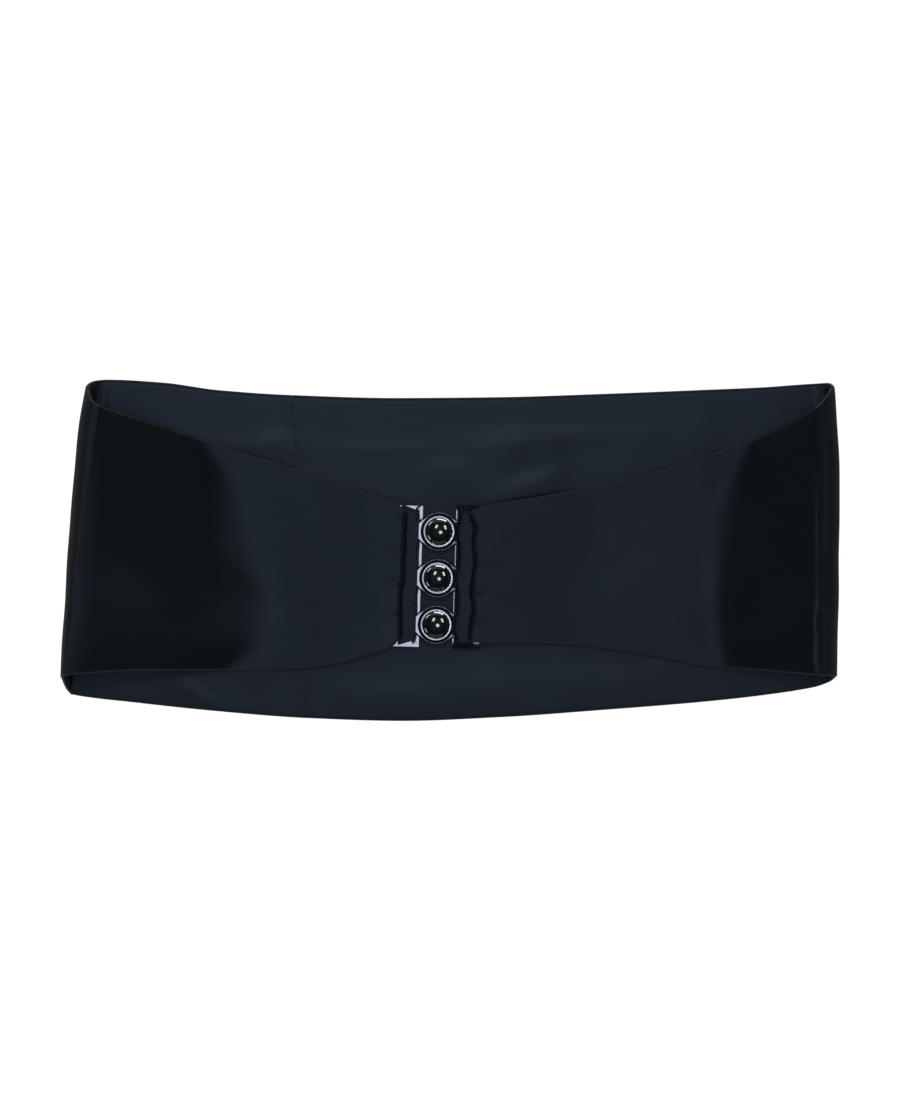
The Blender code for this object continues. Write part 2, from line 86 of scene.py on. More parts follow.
# Clasp sizes that the band's path depends on
CLASP_X = -0.0059
CLASP_Y = -0.0122
CLASP_TILT = math.radians(1.8)
CLASP_HEIGHT = 0.0682
FRAME_NEAR = 0.0080
FRAME_FAR = 0.0208
BAR_WIDTH = 0.0027
BAR_THICK = 0.0024
WRAP_GAP = 0.0005
STONE_SHIFT = -0.0010
TILT = math.tan(CLASP_TILT)


class Side(Enum):
    """Which half of the band, as the photograph shows it."""

    LEFT = -1
    RIGHT = 1

    @property
    def word(self) -> str:
        """The side's name in piece names."""
        return self.name.lower()


class Layer(Enum):
    """Which skin of the cloth a crease lies in."""

    SHELL = "shell"
    LINING = "lining"


class Run(Enum):
    """The stretches of the band, from a turned end round to the back."""

    TAIL = "tail"
    WRAP = "wrap"
    FRONT = "front"
    FOLD = "fold"
    BACK = "back"


def smoothstep(share: np.ndarray | float) -> np.ndarray:
    """A soft ramp from 0 to 1, over a share that is clipped to 0 and 1."""
    share = np.clip(share, 0.0, 1.0)
    return share * share * (3.0 - 2.0 * share)


def hermite(knots: list[float], values: list[float], at: np.ndarray) -> np.ndarray:
    """A smooth curve through values at knots, without loops between them.

    Args:
        knots: rising distances.
        values: the curve's value at each knot.
        at: the distances to read it at.

    Returns:
        The curve's values there.
    """
    knots, values = np.asarray(knots), np.asarray(values)
    slopes = np.diff(values) / np.diff(knots)
    total = slopes[:-1] + slopes[1:]
    same_way = slopes[:-1] * slopes[1:] > 0.0
    inner = np.where(same_way, 2.0 * slopes[:-1] * slopes[1:] / np.where(same_way, total, 1.0), 0.0)
    tangents = np.concatenate([[slopes[0]], inner, [slopes[-1]]])
    k = np.clip(np.searchsorted(knots, at) - 1, 0, len(knots) - 2)
    width = knots[k + 1] - knots[k]
    t = np.clip((at - knots[k]) / width, 0.0, 1.0)
    return (
        values[k] * (1 + 2 * t) * (1 - t) ** 2
        + values[k + 1] * t * t * (3 - 2 * t)
        + width * tangents[k] * t * (1 - t) ** 2
        - width * tangents[k + 1] * t * t * (1 - t)
    )


@dataclass(frozen=True)
class SideLoop:
    """The rounded loop at one side. Each gain is the change from the lower to the upper edge.

    The touches are where the front leaves the back, at even shares from lower to upper edge.
    """

    edge: float
    height: float
    height_gain: float
    round_half: float
    round_gain: float
    boxy: float
    touches: tuple[float, ...]
    bends: tuple[float, float]
    crest_share: float
    crest_fall: float
    bow: float
    pull: float


@dataclass(frozen=True)
class Section:
    """One row of the band's outline: its edges' y, and how far the line between them leans."""

    run: str
    at: float
    top: float
    bottom: float
    lean: float


@dataclass(frozen=True)
class Crease:
    """A soft ridge, or a trough where its height is below zero."""

    layer: Layer
    run: Run
    x: float
    y: float
    length: float
    width: float
    turn: float
    height: float
    waver: float = 0.0
    uneven: float = 0.35
    gentle: float = 1.0

    WAVER_TURNS = 9.0
    WAVER_SHIFT = 311.0
    SWELL_TURNS = 14.0
    SWELL_SHIFT = 173.0

    def lift(self, x: np.ndarray, y: np.ndarray) -> np.ndarray:
        """How far the crease lifts each point.

        Args:
            x: the points' x.
            y: the points' y.

        Returns:
            The lift in metres.
        """
        turn = math.radians(self.turn)
        far = (x - self.x) * math.cos(turn) + (y - self.y) * math.sin(turn)
        off = -(x - self.x) * math.sin(turn) + (y - self.y) * math.cos(turn)
        off = off + self.waver * np.sin(
            far / self.length * self.WAVER_TURNS + self.x * self.WAVER_SHIFT)
        swell = 1.0 + self.uneven * np.sin(
            far / self.length * self.SWELL_TURNS + self.y * self.SWELL_SHIFT)
        width = np.where(off > 0.0, self.width, self.width * self.gentle)
        reach = (far / self.length * 2) ** 2 + (off / width * 2) ** 2
        return self.height * swell * np.exp(-reach)


@dataclass(frozen=True)
class Pucker:
    """One size of the puckers that run out from where a front is drawn in round its bar."""

    waves: float
    phase: float
    height: float
    reach: float


@dataclass(frozen=True)
class Seam:
    """The seam across the back, as it shows on the shell and on the lining."""

    x: float = -0.0720
    lean: float = 0.043
    dent: float = 0.0005
    dent_half: float = 0.0012
    groove: float = 0.00020
    groove_half: float = 0.0004
    allowance: float = 0.0042
    allowance_thick: float = 0.00014
    near_ramp: float = 0.0006
    far_ramp: float = 0.0008
    pucker: float = 0.00010
    pucker_reach: float = 0.005
    pucker_turns: tuple[float, float] = (420.0, 830.0)

    def off(self, x: np.ndarray, y: np.ndarray) -> np.ndarray:
        """How far each point lies to the right of the seam's line."""
        return x - self.x + self.lean * (y - CLASP_Y)

    def shell_lift(self, x: np.ndarray, y: np.ndarray) -> np.ndarray:
        """How the shell's outer face is drawn in along the seam."""
        return -self.dent * np.exp(-((self.off(x, y) / self.dent_half) ** 2))

    def lining_lift(self, x: np.ndarray, y: np.ndarray) -> np.ndarray:
        """The lining's groove, the allowance pressed to its left, and small puckers along it.

        Args:
            x: the points' x.
            y: the points' y.

        Returns:
            The lift in metres.
        """
        off = self.off(x, y)
        ripple = np.sin(y * self.pucker_turns[1] + off * self.pucker_turns[0])
        pucker = self.pucker * ripple * np.exp(-((off / self.pucker_reach) ** 2))
        under = smoothstep(-off / self.near_ramp) * smoothstep((off + self.allowance) / self.far_ramp)
        groove = self.groove * np.exp(-((off / self.groove_half) ** 2))
        return pucker + self.allowance_thick * under - groove


SEAM = Seam()
PUCKERS = (Pucker(4.6, 0.80, 0.00034, 0.010), Pucker(9.3, 1.68, 0.00020, 0.005))

LOOPS = {
    Side.LEFT: SideLoop(
        edge=0.1812, height=0.0290, height_gain=0.001, round_half=0.0068, round_gain=0.007,
        boxy=1.60, touches=(0.097, 0.080, 0.077, 0.085, 0.089, 0.096, 0.113),
        bends=(0.22, 0.60), crest_share=0.10, crest_fall=0.28, bow=0.0012, pull=0.0016,
    ),
    Side.RIGHT: SideLoop(
        edge=0.1844, height=0.0240, height_gain=-0.001, round_half=0.0110, round_gain=0.002,
        boxy=1.45, touches=(0.127, 0.121, 0.118, 0.118, 0.119, 0.125, 0.137),
        bends=(0.26, 0.54), crest_share=0.06, crest_fall=0.45, bow=0.0008, pull=0.0020,
    ),
}
PULL_POWER = 8

# How far each front's fold round its bar strays from straight, from lower to upper edge
FOLD_STRAY = {
    Side.LEFT: (0.0000, -0.0004, -0.0009, -0.0006, 0.0002, 0.0000, 0.0003, 0.0002, 0.0008),
    Side.RIGHT: (-0.0006, -0.0002, 0.0010, -0.0001, 0.0002, 0.0012, -0.0003, 0.0004, -0.0026),
}
FOLD_STRAY_REACH = 0.012

SECTIONS = [
    Section("tail_left", 0.00, 0.0186, -0.0420, TILT),
    Section("wrap_left", 0.75, 0.0189, -0.0421, TILT),
    Section("wrap_left", 1.00, 0.0212, -0.0450, TILT),
    Section("front_left", -0.0300, 0.0236, -0.0473, TILT),
    Section("front_left", -0.0400, 0.0267, -0.0502, 0.032),
    Section("front_left", -0.0560, 0.0318, -0.0546, 0.036),
    Section("front_left", -0.0800, 0.0397, -0.0567, 0.045),
    Section("front_left", -0.1120, 0.0492, -0.0574, 0.058),
    Section("front_left", -0.1440, 0.0590, -0.0570, 0.070),
    Section("fold_left", 0.00, 0.0688, -0.0588, 0.074),
    Section("fold_left", 0.50, 0.0788, -0.0612, 0.074),
    Section("fold_left", 1.00, 0.0820, -0.0690, 0.070),
    Section("back", -0.1440, 0.0806, -0.0732, 0.040),
    Section("back", -0.1120, 0.0770, -0.0770, -0.005),
    Section("back", -0.0720, 0.0746, -0.0804, -0.043),
    Section("back", -0.0240, 0.0732, -0.0818, -0.020),
    Section("back", 0.0240, 0.0736, -0.0800, 0.000),
    Section("back", 0.0720, 0.0751, -0.0766, 0.000),
    Section("back", 0.1200, 0.0770, -0.0727, 0.002),
    Section("back", 0.1500, 0.0783, -0.0694, 0.004),
    Section("fold_right", 0.00, 0.0800, -0.0655, 0.005),
    Section("fold_right", 0.25, 0.0803, -0.0630, 0.005),
    Section("fold_right", 0.50, 0.0784, -0.0602, 0.005),
    Section("fold_right", 1.00, 0.0678, -0.0590, 0.006),
    Section("front_right", 0.1580, 0.0587, -0.0578, 0.008),
    Section("front_right", 0.1260, 0.0466, -0.0557, 0.012),
    Section("front_right", 0.0940, 0.0366, -0.0496, 0.018),
    Section("front_right", 0.0580, 0.0285, -0.0449, 0.025),
    Section("front_right", 0.0320, 0.0241, -0.0437, TILT),
    Section("front_right", 0.0180, 0.0212, -0.0442, TILT),
    Section("wrap_right", 0.00, 0.0194, -0.0440, TILT),
    Section("wrap_right", 0.25, 0.0178, -0.0434, TILT),
    Section("tail_right", 1.00, 0.0174, -0.0433, TILT),
]

CREASES = [
    Crease(Layer.SHELL, Run.FRONT, -0.1290, -0.0200, 0.046, 0.024, 12, 0.0007, 0.0, 0.0),
    Crease(Layer.SHELL, Run.FRONT, -0.1300, 0.0180, 0.060, 0.030, 66, 0.0008, 0.0020, 0.1),
    Crease(Layer.SHELL, Run.FRONT, 0.1720, -0.0400, 0.046, 0.012, 78, 0.0009, 0.0006),
    Crease(Layer.SHELL, Run.FRONT, 0.1540, 0.0200, 0.050, 0.018, 95, -0.0006, 0.0012),
    Crease(Layer.SHELL, Run.FRONT, 0.0200, 0.0040, 0.016, 0.008, 30, 0.0003, 0.0004, 0.0),
    Crease(Layer.SHELL, Run.FRONT, 0.0210, -0.0240, 0.014, 0.008, -8, 0.0002, 0.0003, 0.0),
    Crease(Layer.SHELL, Run.FRONT, -0.0320, -0.0220, 0.016, 0.009, 6, 0.0002, 0.0003, 0.0),
    Crease(Layer.LINING, Run.BACK, -0.0920, 0.0515, 0.032, 0.0080, 6, 0.0011, 0.0008, 0.1, 2.6),
    Crease(Layer.LINING, Run.BACK, -0.0340, 0.0495, 0.060, 0.0040, 0, 0.0004, 0.0004, 0.1, 2.6),
    Crease(Layer.LINING, Run.BACK, 0.0340, 0.0515, 0.044, 0.0085, 4, 0.0013, 0.0006, 0.1, 2.6),
    Crease(Layer.LINING, Run.BACK, 0.0480, 0.0570, 0.070, 0.0040, 1, 0.0004, 0.0003, 0.1, 2.6),
    Crease(Layer.LINING, Run.BACK, 0.0380, 0.0310, 0.030, 0.0100, 20, 0.0014, 0.0003, 0.0, 2.6),
    Crease(Layer.LINING, Run.BACK, 0.0000, 0.0385, 0.030, 0.0100, 8, 0.0007, 0.0006, 0.1, 2.6),
    Crease(Layer.LINING, Run.BACK, 0.1000, 0.0560, 0.060, 0.012, 8, 0.0004, 0.0010, 0.35, 2.6),
    Crease(Layer.LINING, Run.BACK, -0.1180, -0.0690, 0.028, 0.0045, -38, 0.0006, 0.0002, 0.0, 2.6),
    Crease(Layer.LINING, Run.BACK, -0.1080, -0.0680, 0.018, 0.0045, -50, 0.0004, 0.0002, 0.0, 2.6),
    Crease(Layer.LINING, Run.BACK, -0.1260, -0.0660, 0.018, 0.0045, -30, 0.0004, 0.0002, 0.0, 2.6),
    Crease(Layer.LINING, Run.BACK, 0.0200, -0.0650, 0.080, 0.018, 3, 0.0013, 0.0010, 0.2, 2.6),
    Crease(Layer.LINING, Run.BACK, 0.0820, -0.0620, 0.050, 0.012, 6, 0.0007, 0.0010, 0.1, 2.6),
    Crease(Layer.LINING, Run.BACK, -0.0300, -0.0700, 0.050, 0.013, -4, 0.0009, 0.0010, 0.1, 2.6),
    Crease(Layer.LINING, Run.FRONT, -0.1500, 0.0100, 0.060, 0.012, 82, 0.0006, 0.0010),
    Crease(Layer.LINING, Run.FRONT, 0.1600, -0.0050, 0.060, 0.012, 94, 0.0006, 0.0010),
]


@dataclass
class BandShape:
    """The band's outer face as a fine grid of stations along it and shares across it."""

    across: int = 150
    front_step: float = 0.0015
    back_step: float = 0.0016
    fold_steps: int = 30
    wrap_steps: int = 14
    tail_steps: int = 5
    seam_half_gap: float = 0.00005
    origin: np.ndarray = field(default_factory=lambda: np.zeros(3))

    TAIL_REACH = 0.0300
    SETTLE_REACH = 0.0820
    FRONT_CLEARANCE = 0.0012
    LOWER_FOLD = 2.3
    WRAP_BOXY = 3.6
    TAIL_Z = STACK + PIECE_GAP
    BAR_Z = TAIL_Z + SHELL_WALL + WRAP_GAP
    WRAP_RADIUS = BAR_THICK / 2 + WRAP_GAP + SHELL_WALL
    WRAP_Z = BAR_Z + BAR_THICK / 2
    WRAP_CENTRE = FRAME_FAR - BAR_WIDTH + BAR_THICK / 2
    REST_Z = 2 * STACK + FRONT_CLEARANCE
    CLIMB_STEPS = 400

    # Slow swells: what each wave turns through in a metre of x and of y, and its phase
    LIFE_WAVES = ((61, 17, 0.3), (-38, 74, 1.9), (97, -43, 4.1), (23, 118, 2.6), (151, 62, 5.2))
    FRONT_SWELL = 0.00028
    FRONT_SEED = 0.0
    FOLD_SWELL = 0.0004
    FOLD_SEED = 2.0
    FOLD_STRETCH = (0.3, 1.6)
    LINING_SWELL = 0.00030
    LINING_SEED = 5.0
    SWELL_MEAN = 0.6
    FREE_RUN = 0.03
    PUCKER_FADE = 0.6

    # Where the fronts cover the lining: x and y along their edges, and how far they press it flat
    COVER_TOP = (
        (-0.160, 0.0640), (-0.112, 0.0492), (-0.030, 0.0236),
        (0.030, 0.0241), (0.094, 0.0366), (0.158, 0.0587),
    )
    COVER_BOTTOM = (
        (-0.160, -0.0570), (-0.080, -0.0567), (-0.030, -0.0473),
        (0.030, -0.0437), (0.094, -0.0496), (0.158, -0.0578),
    )
    COVER_MARGIN = 0.002
    COVER_SOFT = 0.006
    COVER_REACH = 0.13
    PRESSED_CREASE = 0.55
    PRESSED_SWELL = 0.6

    def __post_init__(self) -> None:
        """Work out the stations, the surface over them and its normals."""
        self.share = np.linspace(0.0, 1.0, self.across + 1)
        self.runs, self.sides, self.turns, x, z = self._stations()
        middle = self.across // 2
        steps = np.hypot(np.diff(x[:, middle]), np.diff(z[:, middle]))
        self.distance = np.concatenate([[0.0], np.cumsum(steps)])
        self.middle_x = x[:, middle]
        knots = [self._section_distance(row) for row in SECTIONS]
        self.top = hermite(knots, [row.top for row in SECTIONS], self.distance)
        self.bottom = hermite(knots, [row.bottom for row in SECTIONS], self.distance)
        lean = hermite(knots, [row.lean for row in SECTIONS], self.distance)
        y = self.bottom[:, None] + (self.top - self.bottom)[:, None] * self.share[None, :]
        x = x + lean[:, None] * (y - CLASP_Y) + self._fold_shape(x)
        way_x, way_z = np.gradient(x, axis=0), np.gradient(z, axis=0)
        size = np.hypot(way_x, way_z) + 1e-12
        in_x, in_z = -way_z / size, way_x / size
        lift = self._shell_lift(x, y)
        self.surface = np.stack([x - in_x * lift, y, z - in_z * lift], axis=-1) + self.origin
        self.normal = self._normals(self.surface)
        self.lining_lift = self._lining_lift(x, y)
        self.seam = self._seam_station()

    def _run(self, run: Run, side: Side, share: np.ndarray) -> tuple[np.ndarray, np.ndarray]:
        """x and z of one run for every share along it and across it.

        Args:
            run: any run but the back.
            side: which half of the band.
            share: shares along the run, from the tail towards the back.

        Returns:
            Two grids, x and z.
        """
        loop, sign = LOOPS[side], side.value
        share = share[:, None] + 0.0 * self.share[None, :]
        gain = self.share[None, :] - 0.5
        round_half = loop.round_half + loop.round_gain * gain
        height = loop.height + loop.height_gain * gain
        bar_x = CLASP_X + sign * self.WRAP_CENTRE
        crest_x = sign * (loop.edge - round_half)
        turn = math.pi * share
        if run is Run.TAIL:
            x = CLASP_X + sign * (self.TAIL_REACH + (self.WRAP_CENTRE - self.TAIL_REACH) * share)
            return x, np.full_like(x, self.TAIL_Z)
        if run is Run.WRAP:
            sin, cos = np.sin(turn), np.cos(turn)
            power = self.WRAP_BOXY
            reach = self.WRAP_RADIUS * (np.abs(sin) ** power + np.abs(cos) ** power) ** (-1.0 / power)
            return bar_x - sign * reach * sin, self.WRAP_Z - reach * cos
        if run is Run.FRONT:
            x = bar_x + (crest_x - bar_x) * share
            return x, self._front_height(side, x, crest_x, height)
        sin, cos = np.sin(turn), np.cos(turn)
        power = np.where(cos > 0.0, loop.boxy, self.LOWER_FOLD)
        reach = (np.abs(sin) ** power + np.abs(cos) ** power) ** (-1.0 / power)
        x = crest_x + sign * round_half * reach * sin
        return x, height / 2 * (1.0 + reach * cos)

    def _front_height(
        self, side: Side, x: np.ndarray, crest_x: np.ndarray, height: np.ndarray
    ) -> np.ndarray:
        """Height of a front's outer face, from over its bar out to the loop's crest.

        Args:
            side: which front.
            x: where along it.
            crest_x: the crest's x on each share across.
            height: the crest's height on each share across.

        Returns:
            The heights.
        """
        loop, sign = LOOPS[side], side.value
        reach = sign * (x - CLASP_X)
        settle = smoothstep((reach - self.WRAP_CENTRE) / (self.SETTLE_REACH - self.WRAP_CENTRE))
        over_bar = self.WRAP_Z + self.WRAP_RADIUS
        low = over_bar + (self.REST_Z - over_bar) * settle
        knots = np.linspace(0.0, 1.0, len(loop.touches))
        touch = hermite(knots, list(loop.touches), self.share)[None, :]
        share = (sign * x - touch) / (sign * crest_x - touch)
        steps = np.linspace(0.0, 1.0, self.CLIMB_STEPS)
        ease = loop.crest_fall * (1.0 - smoothstep((1.0 - steps) / loop.crest_share))
        rises = []
        for bend in loop.bends:
            slope = smoothstep(steps / bend) * (1.0 - ease)
            climb = np.concatenate([[0.0], np.cumsum(slope[1:] + slope[:-1])])
            rises.append(np.interp(np.clip(share, 0.0, 1.0), steps, climb / climb[-1]))
        rise = rises[0] + (rises[1] - rises[0]) * self.share[None, :]
        return low + (height - self.REST_Z) * rise

    def _half(self, side: Side) -> list[tuple]:
        """The runs of one side, from its tail to where its fold meets the back.

        Args:
            side: which half of the band.

        Returns:
            Each run's name, side, turns, x and z.
        """
        loop = LOOPS[side]
        front = loop.edge - loop.round_half - side.value * CLASP_X - self.WRAP_CENTRE
        counts = {
            Run.TAIL: self.tail_steps,
            Run.WRAP: self.wrap_steps,
            Run.FRONT: round(front / self.front_step),
            Run.FOLD: self.fold_steps,
        }
        found = []
        for run, count in counts.items():
            share = np.linspace(0.0, 1.0, count + 1)
            x, z = self._run(run, side, share)
            turn = np.sin(math.pi * share) if run is Run.FOLD else 0.0 * share
            found.append((f"{run.value}_{side.word}", side, turn, x, z))
        return found

    def _back(self) -> tuple:
        """The back's stations, flat on the surface, with one at the seam.

        Returns:
            The run's name, side, turns, x and z.
        """
        left, right = LOOPS[Side.LEFT], LOOPS[Side.RIGHT]
        start = left.round_half + left.round_gain * (self.share - 0.5) - left.edge
        stop = right.edge - right.round_half - right.round_gain * (self.share - 0.5)
        first = round((SEAM.x - start.mean()) / self.back_step)
        second = round((stop.mean() - SEAM.x) / self.back_step)
        a = np.linspace(0.0, 1.0, first + 1)[:, None]
        b = np.linspace(0.0, 1.0, second + 1)[1:, None]
        x = np.vstack([start + (SEAM.x - start) * a, SEAM.x + (stop - SEAM.x) * b])
        return Run.BACK.value, None, np.zeros(len(x)), x, np.zeros_like(x)

    def _stations(self) -> tuple:
        """Every station of the band, from the left tail round to the right tail.

        Returns:
            The stations' runs, sides, turns, x and z.
        """
        parts = self._half(Side.LEFT) + [self._back()]
        for run, side, turn, x, z in reversed(self._half(Side.RIGHT)):
            parts.append((run, side, turn[::-1], x[::-1], z[::-1]))
        runs, sides, turns, xs, zs = [], [], [], [], []
        for k, (run, side, turn, x, z) in enumerate(parts):
            keep = slice(1 if k else 0, None)
            runs += [run] * len(turn[keep])
            sides += [side.value if side else 0] * len(turn[keep])
            turns.append(turn[keep])
            xs.append(x[keep])
            zs.append(z[keep])
        return (
            np.array(runs), np.array(sides), np.concatenate(turns), np.vstack(xs), np.vstack(zs)
        )

    def on(self, run: Run) -> np.ndarray:
        """A mask of the stations on this run, of either side."""
        return np.array([name.startswith(run.value) for name in self.runs])

    def _section_distance(self, section: Section) -> float:
        """How far along the band a row of the outline table lies.

        Args:
            section: the row.

        Returns:
            The distance along the middle of the band.
        """
        on_run = np.flatnonzero(self.runs == section.run)
        if section.run.startswith(("front", "back")):
            x = self.middle_x[on_run]
            order = np.argsort(x)
            return float(np.interp(section.at, x[order], self.distance[on_run][order]))
        first, last = on_run[0], on_run[-1]
        return float(
            self.distance[first] + section.at * (self.distance[last] - self.distance[first])
        )

    def _fold_shape(self, x: np.ndarray) -> np.ndarray:
        """How the loops bow outwards, and how the folds round the bars stray from straight.

        Args:
            x: the points' x.

        Returns:
            The move in x at each point.
        """
        out = np.zeros((len(self.runs), len(self.share)))
        for side, loop in LOOPS.items():
            bow = loop.bow * (1.0 - (2.0 * self.share - 1.0) ** 2)
            bow = bow - loop.pull * self.share**PULL_POWER
            mask = (self.sides == side.value)[:, None]
            out += mask * side.value * self.turns[:, None] * bow[None, :]
            stray = hermite(np.linspace(0.0, 1.0, len(FOLD_STRAY[side])), FOLD_STRAY[side], self.share)
            reach = np.maximum(side.value * (x - CLASP_X) - self.WRAP_CENTRE, 0.0)
            out += mask * stray[None, :] * np.exp(-((reach / FOLD_STRAY_REACH) ** 2))
        return out

    def _gathers(self, x: np.ndarray) -> np.ndarray:
        """Puckers that run out from where each front is drawn in round its bar.

        Args:
            x: the points' x.

        Returns:
            The lift in metres.
        """
        out = np.zeros_like(x)
        share = self.share[None, :]
        fade = np.sin(math.pi * share) ** self.PUCKER_FADE
        for side in Side:
            mask = ((self.sides == side.value) & (self.on(Run.WRAP) | self.on(Run.FRONT)))[:, None]
            reach = np.maximum(side.value * (x - CLASP_X) - self.WRAP_CENTRE, 0.0)
            for pucker in PUCKERS:
                turn = 2 * math.pi * pucker.waves * share + pucker.phase * side.value
                wave = 0.5 * pucker.height * (1.0 + np.cos(turn))
                out += mask * fade * wave * np.exp(-reach / pucker.reach)
        return out

    def _life(self, x: np.ndarray, y: np.ndarray, seed: float) -> np.ndarray:
        """Slow, uneven swells that keep a face from being dead flat.

        Args:
            x: the points' x.
            y: the points' y.
            seed: shifts the pattern from layer to layer.

        Returns:
            A field between about -1 and 1.
        """
        total = sum(
            np.sin(a * x + b * y + phase + seed * (k + 1))
            for k, (a, b, phase) in enumerate(self.LIFE_WAVES)
        )
        return total / len(self.LIFE_WAVES)

    def _shell_lift(self, x: np.ndarray, y: np.ndarray) -> np.ndarray:
        """How far creases, puckers and swells lift the shell's outer face.

        Args:
            x: the points' x.
            y: the points' y.

        Returns:
            The lift in metres.
        """
        front, fold = self.on(Run.FRONT)[:, None], self.on(Run.FOLD)[:, None]
        lift = self._gathers(x)
        reach = np.abs(x - CLASP_X) - self.TAIL_REACH
        free = smoothstep(reach / self.FREE_RUN)
        for crease in CREASES:
            if crease.layer is Layer.SHELL:
                lift = lift + front * crease.lift(x, y)
        lift = lift + front * free * self.FRONT_SWELL * self._life(x, y, self.FRONT_SEED)
        along, across = self.FOLD_STRETCH
        swell = self.FOLD_SWELL * self._life(x * along, y * across, self.FOLD_SEED)
        lift = lift + fold * self.turns[:, None] * swell
        return lift + self.on(Run.BACK)[:, None] * SEAM.shell_lift(x, y)

    def _lining_lift(self, x: np.ndarray, y: np.ndarray) -> np.ndarray:
        """How far the lining stands off the shell, with its creases and its seam.

        Args:
            x: the points' x.
            y: the points' y.

        Returns:
            The lift in metres.
        """
        back, front = self.on(Run.BACK)[:, None], self.on(Run.FRONT)[:, None]
        lift = np.zeros_like(x)
        for crease in CREASES:
            if crease.layer is Layer.LINING:
                lift = lift + (back if crease.run is Run.BACK else front) * crease.lift(x, y)
        covered = self._covered(x, y)
        lift = lift * (1.0 - self.PRESSED_CREASE * covered)
        swell = self.LINING_SWELL * (1.0 - self.PRESSED_SWELL * covered)
        lift = lift + back * swell * (self.SWELL_MEAN + self._life(x, y, self.LINING_SEED))
        return lift + back * SEAM.lining_lift(x, y)

    def _covered(self, x: np.ndarray, y: np.ndarray) -> np.ndarray:
        """Where the fronts lie on the back's lining, softly edged, from 0 to 1.

        Args:
            x: the points' x.
            y: the points' y.

        Returns:
            The share covered.
        """
        top = np.interp(x, *zip(*self.COVER_TOP)) + self.COVER_MARGIN
        bottom = np.interp(x, *zip(*self.COVER_BOTTOM)) - self.COVER_MARGIN
        inside = smoothstep((top - y) / self.COVER_SOFT) * smoothstep((y - bottom) / self.COVER_SOFT)
        return inside * (np.abs(x) < self.COVER_REACH)

    def ridges(self) -> list[int]:
        """The stations along the crests, which are pressed to ridges."""
        left, right = (np.flatnonzero(self.runs == run) for run in ("front_left", "front_right"))
        return [int(left[-1]), int(right[0]) - 1]

    def _normals(self, surface: np.ndarray) -> np.ndarray:
        """Unit normals of the grid that point into the loop.

        Args:
            surface: the grid's points.

        Returns:
            A normal for each point.
        """
        along, across = np.gradient(surface, axis=0), np.gradient(surface, axis=1)
        normal = np.cross(along, across)
        return normal / (np.linalg.norm(normal, axis=-1, keepdims=True) + 1e-15)

    def _seam_station(self) -> int:
        """The station that lies at the seam."""
        on_back = np.flatnonzero(self.on(Run.BACK))
        return int(on_back[np.argmin(np.abs(self.middle_x[on_back] - SEAM.x))])

    def read(self, grid: np.ndarray, stations: np.ndarray, share: np.ndarray) -> np.ndarray:
        """Values of a grid at shares across that lie between its own.

        Args:
            grid: values over stations and shares.
            stations: the stations to read, one a row.
            share: the shares to read, a row of them for each station.

        Returns:
            The values, a row for each station.
        """
        place = np.clip(share, 0.0, 1.0) * self.across
        low = np.clip(np.floor(place).astype(int), 0, self.across - 1)
        part = place - low
        if grid.ndim == 3:
            part = part[..., None]
        rows = stations[:, None]
        return grid[rows, low] * (1.0 - part) + grid[rows, low + 1] * part

    def beneath(
        self, stations: np.ndarray, share: np.ndarray, depth: np.ndarray | float
    ) -> np.ndarray:
        """Points at a depth under the outer face, a row for each station."""
        place = self.read(self.surface, stations, share)
        return place + self.read(self.normal, stations, share) * depth


class Value:
    """A shader socket that takes part in Python arithmetic."""

    def __init__(self, recipe: "Recipe", socket: bpy.types.NodeSocket) -> None:
        """Hold the socket and the recipe whose tree it is in."""
        self.recipe = recipe
        self.socket = socket

    def __add__(self, other: "Value | float") -> "Value":
        """The sum."""
        return self.recipe.maths("ADD", self, other)

    def __sub__(self, other: "Value | float") -> "Value":
        """The difference."""
        return self.recipe.maths("SUBTRACT", self, other)

    def __mul__(self, other: "Value | float") -> "Value":
        """The product."""
        return self.recipe.maths("MULTIPLY", self, other)

    def __rsub__(self, other: float) -> "Value":
        """The difference from a number."""
        return self.recipe.maths("SUBTRACT", other, self)

    def __pow__(self, other: float) -> "Value":
        """The power."""
        return self.recipe.maths("POWER", self, other)

    __radd__ = __add__
    __rmul__ = __mul__

    def sine(self) -> "Value":
        """The sine of the value, in radians."""
        return self.recipe.maths("SINE", self)

    def clamped(self) -> "Value":
        """The value kept between 0 and 1."""
        return self.recipe.maths("ADD", self, 0.0, clamp=True)


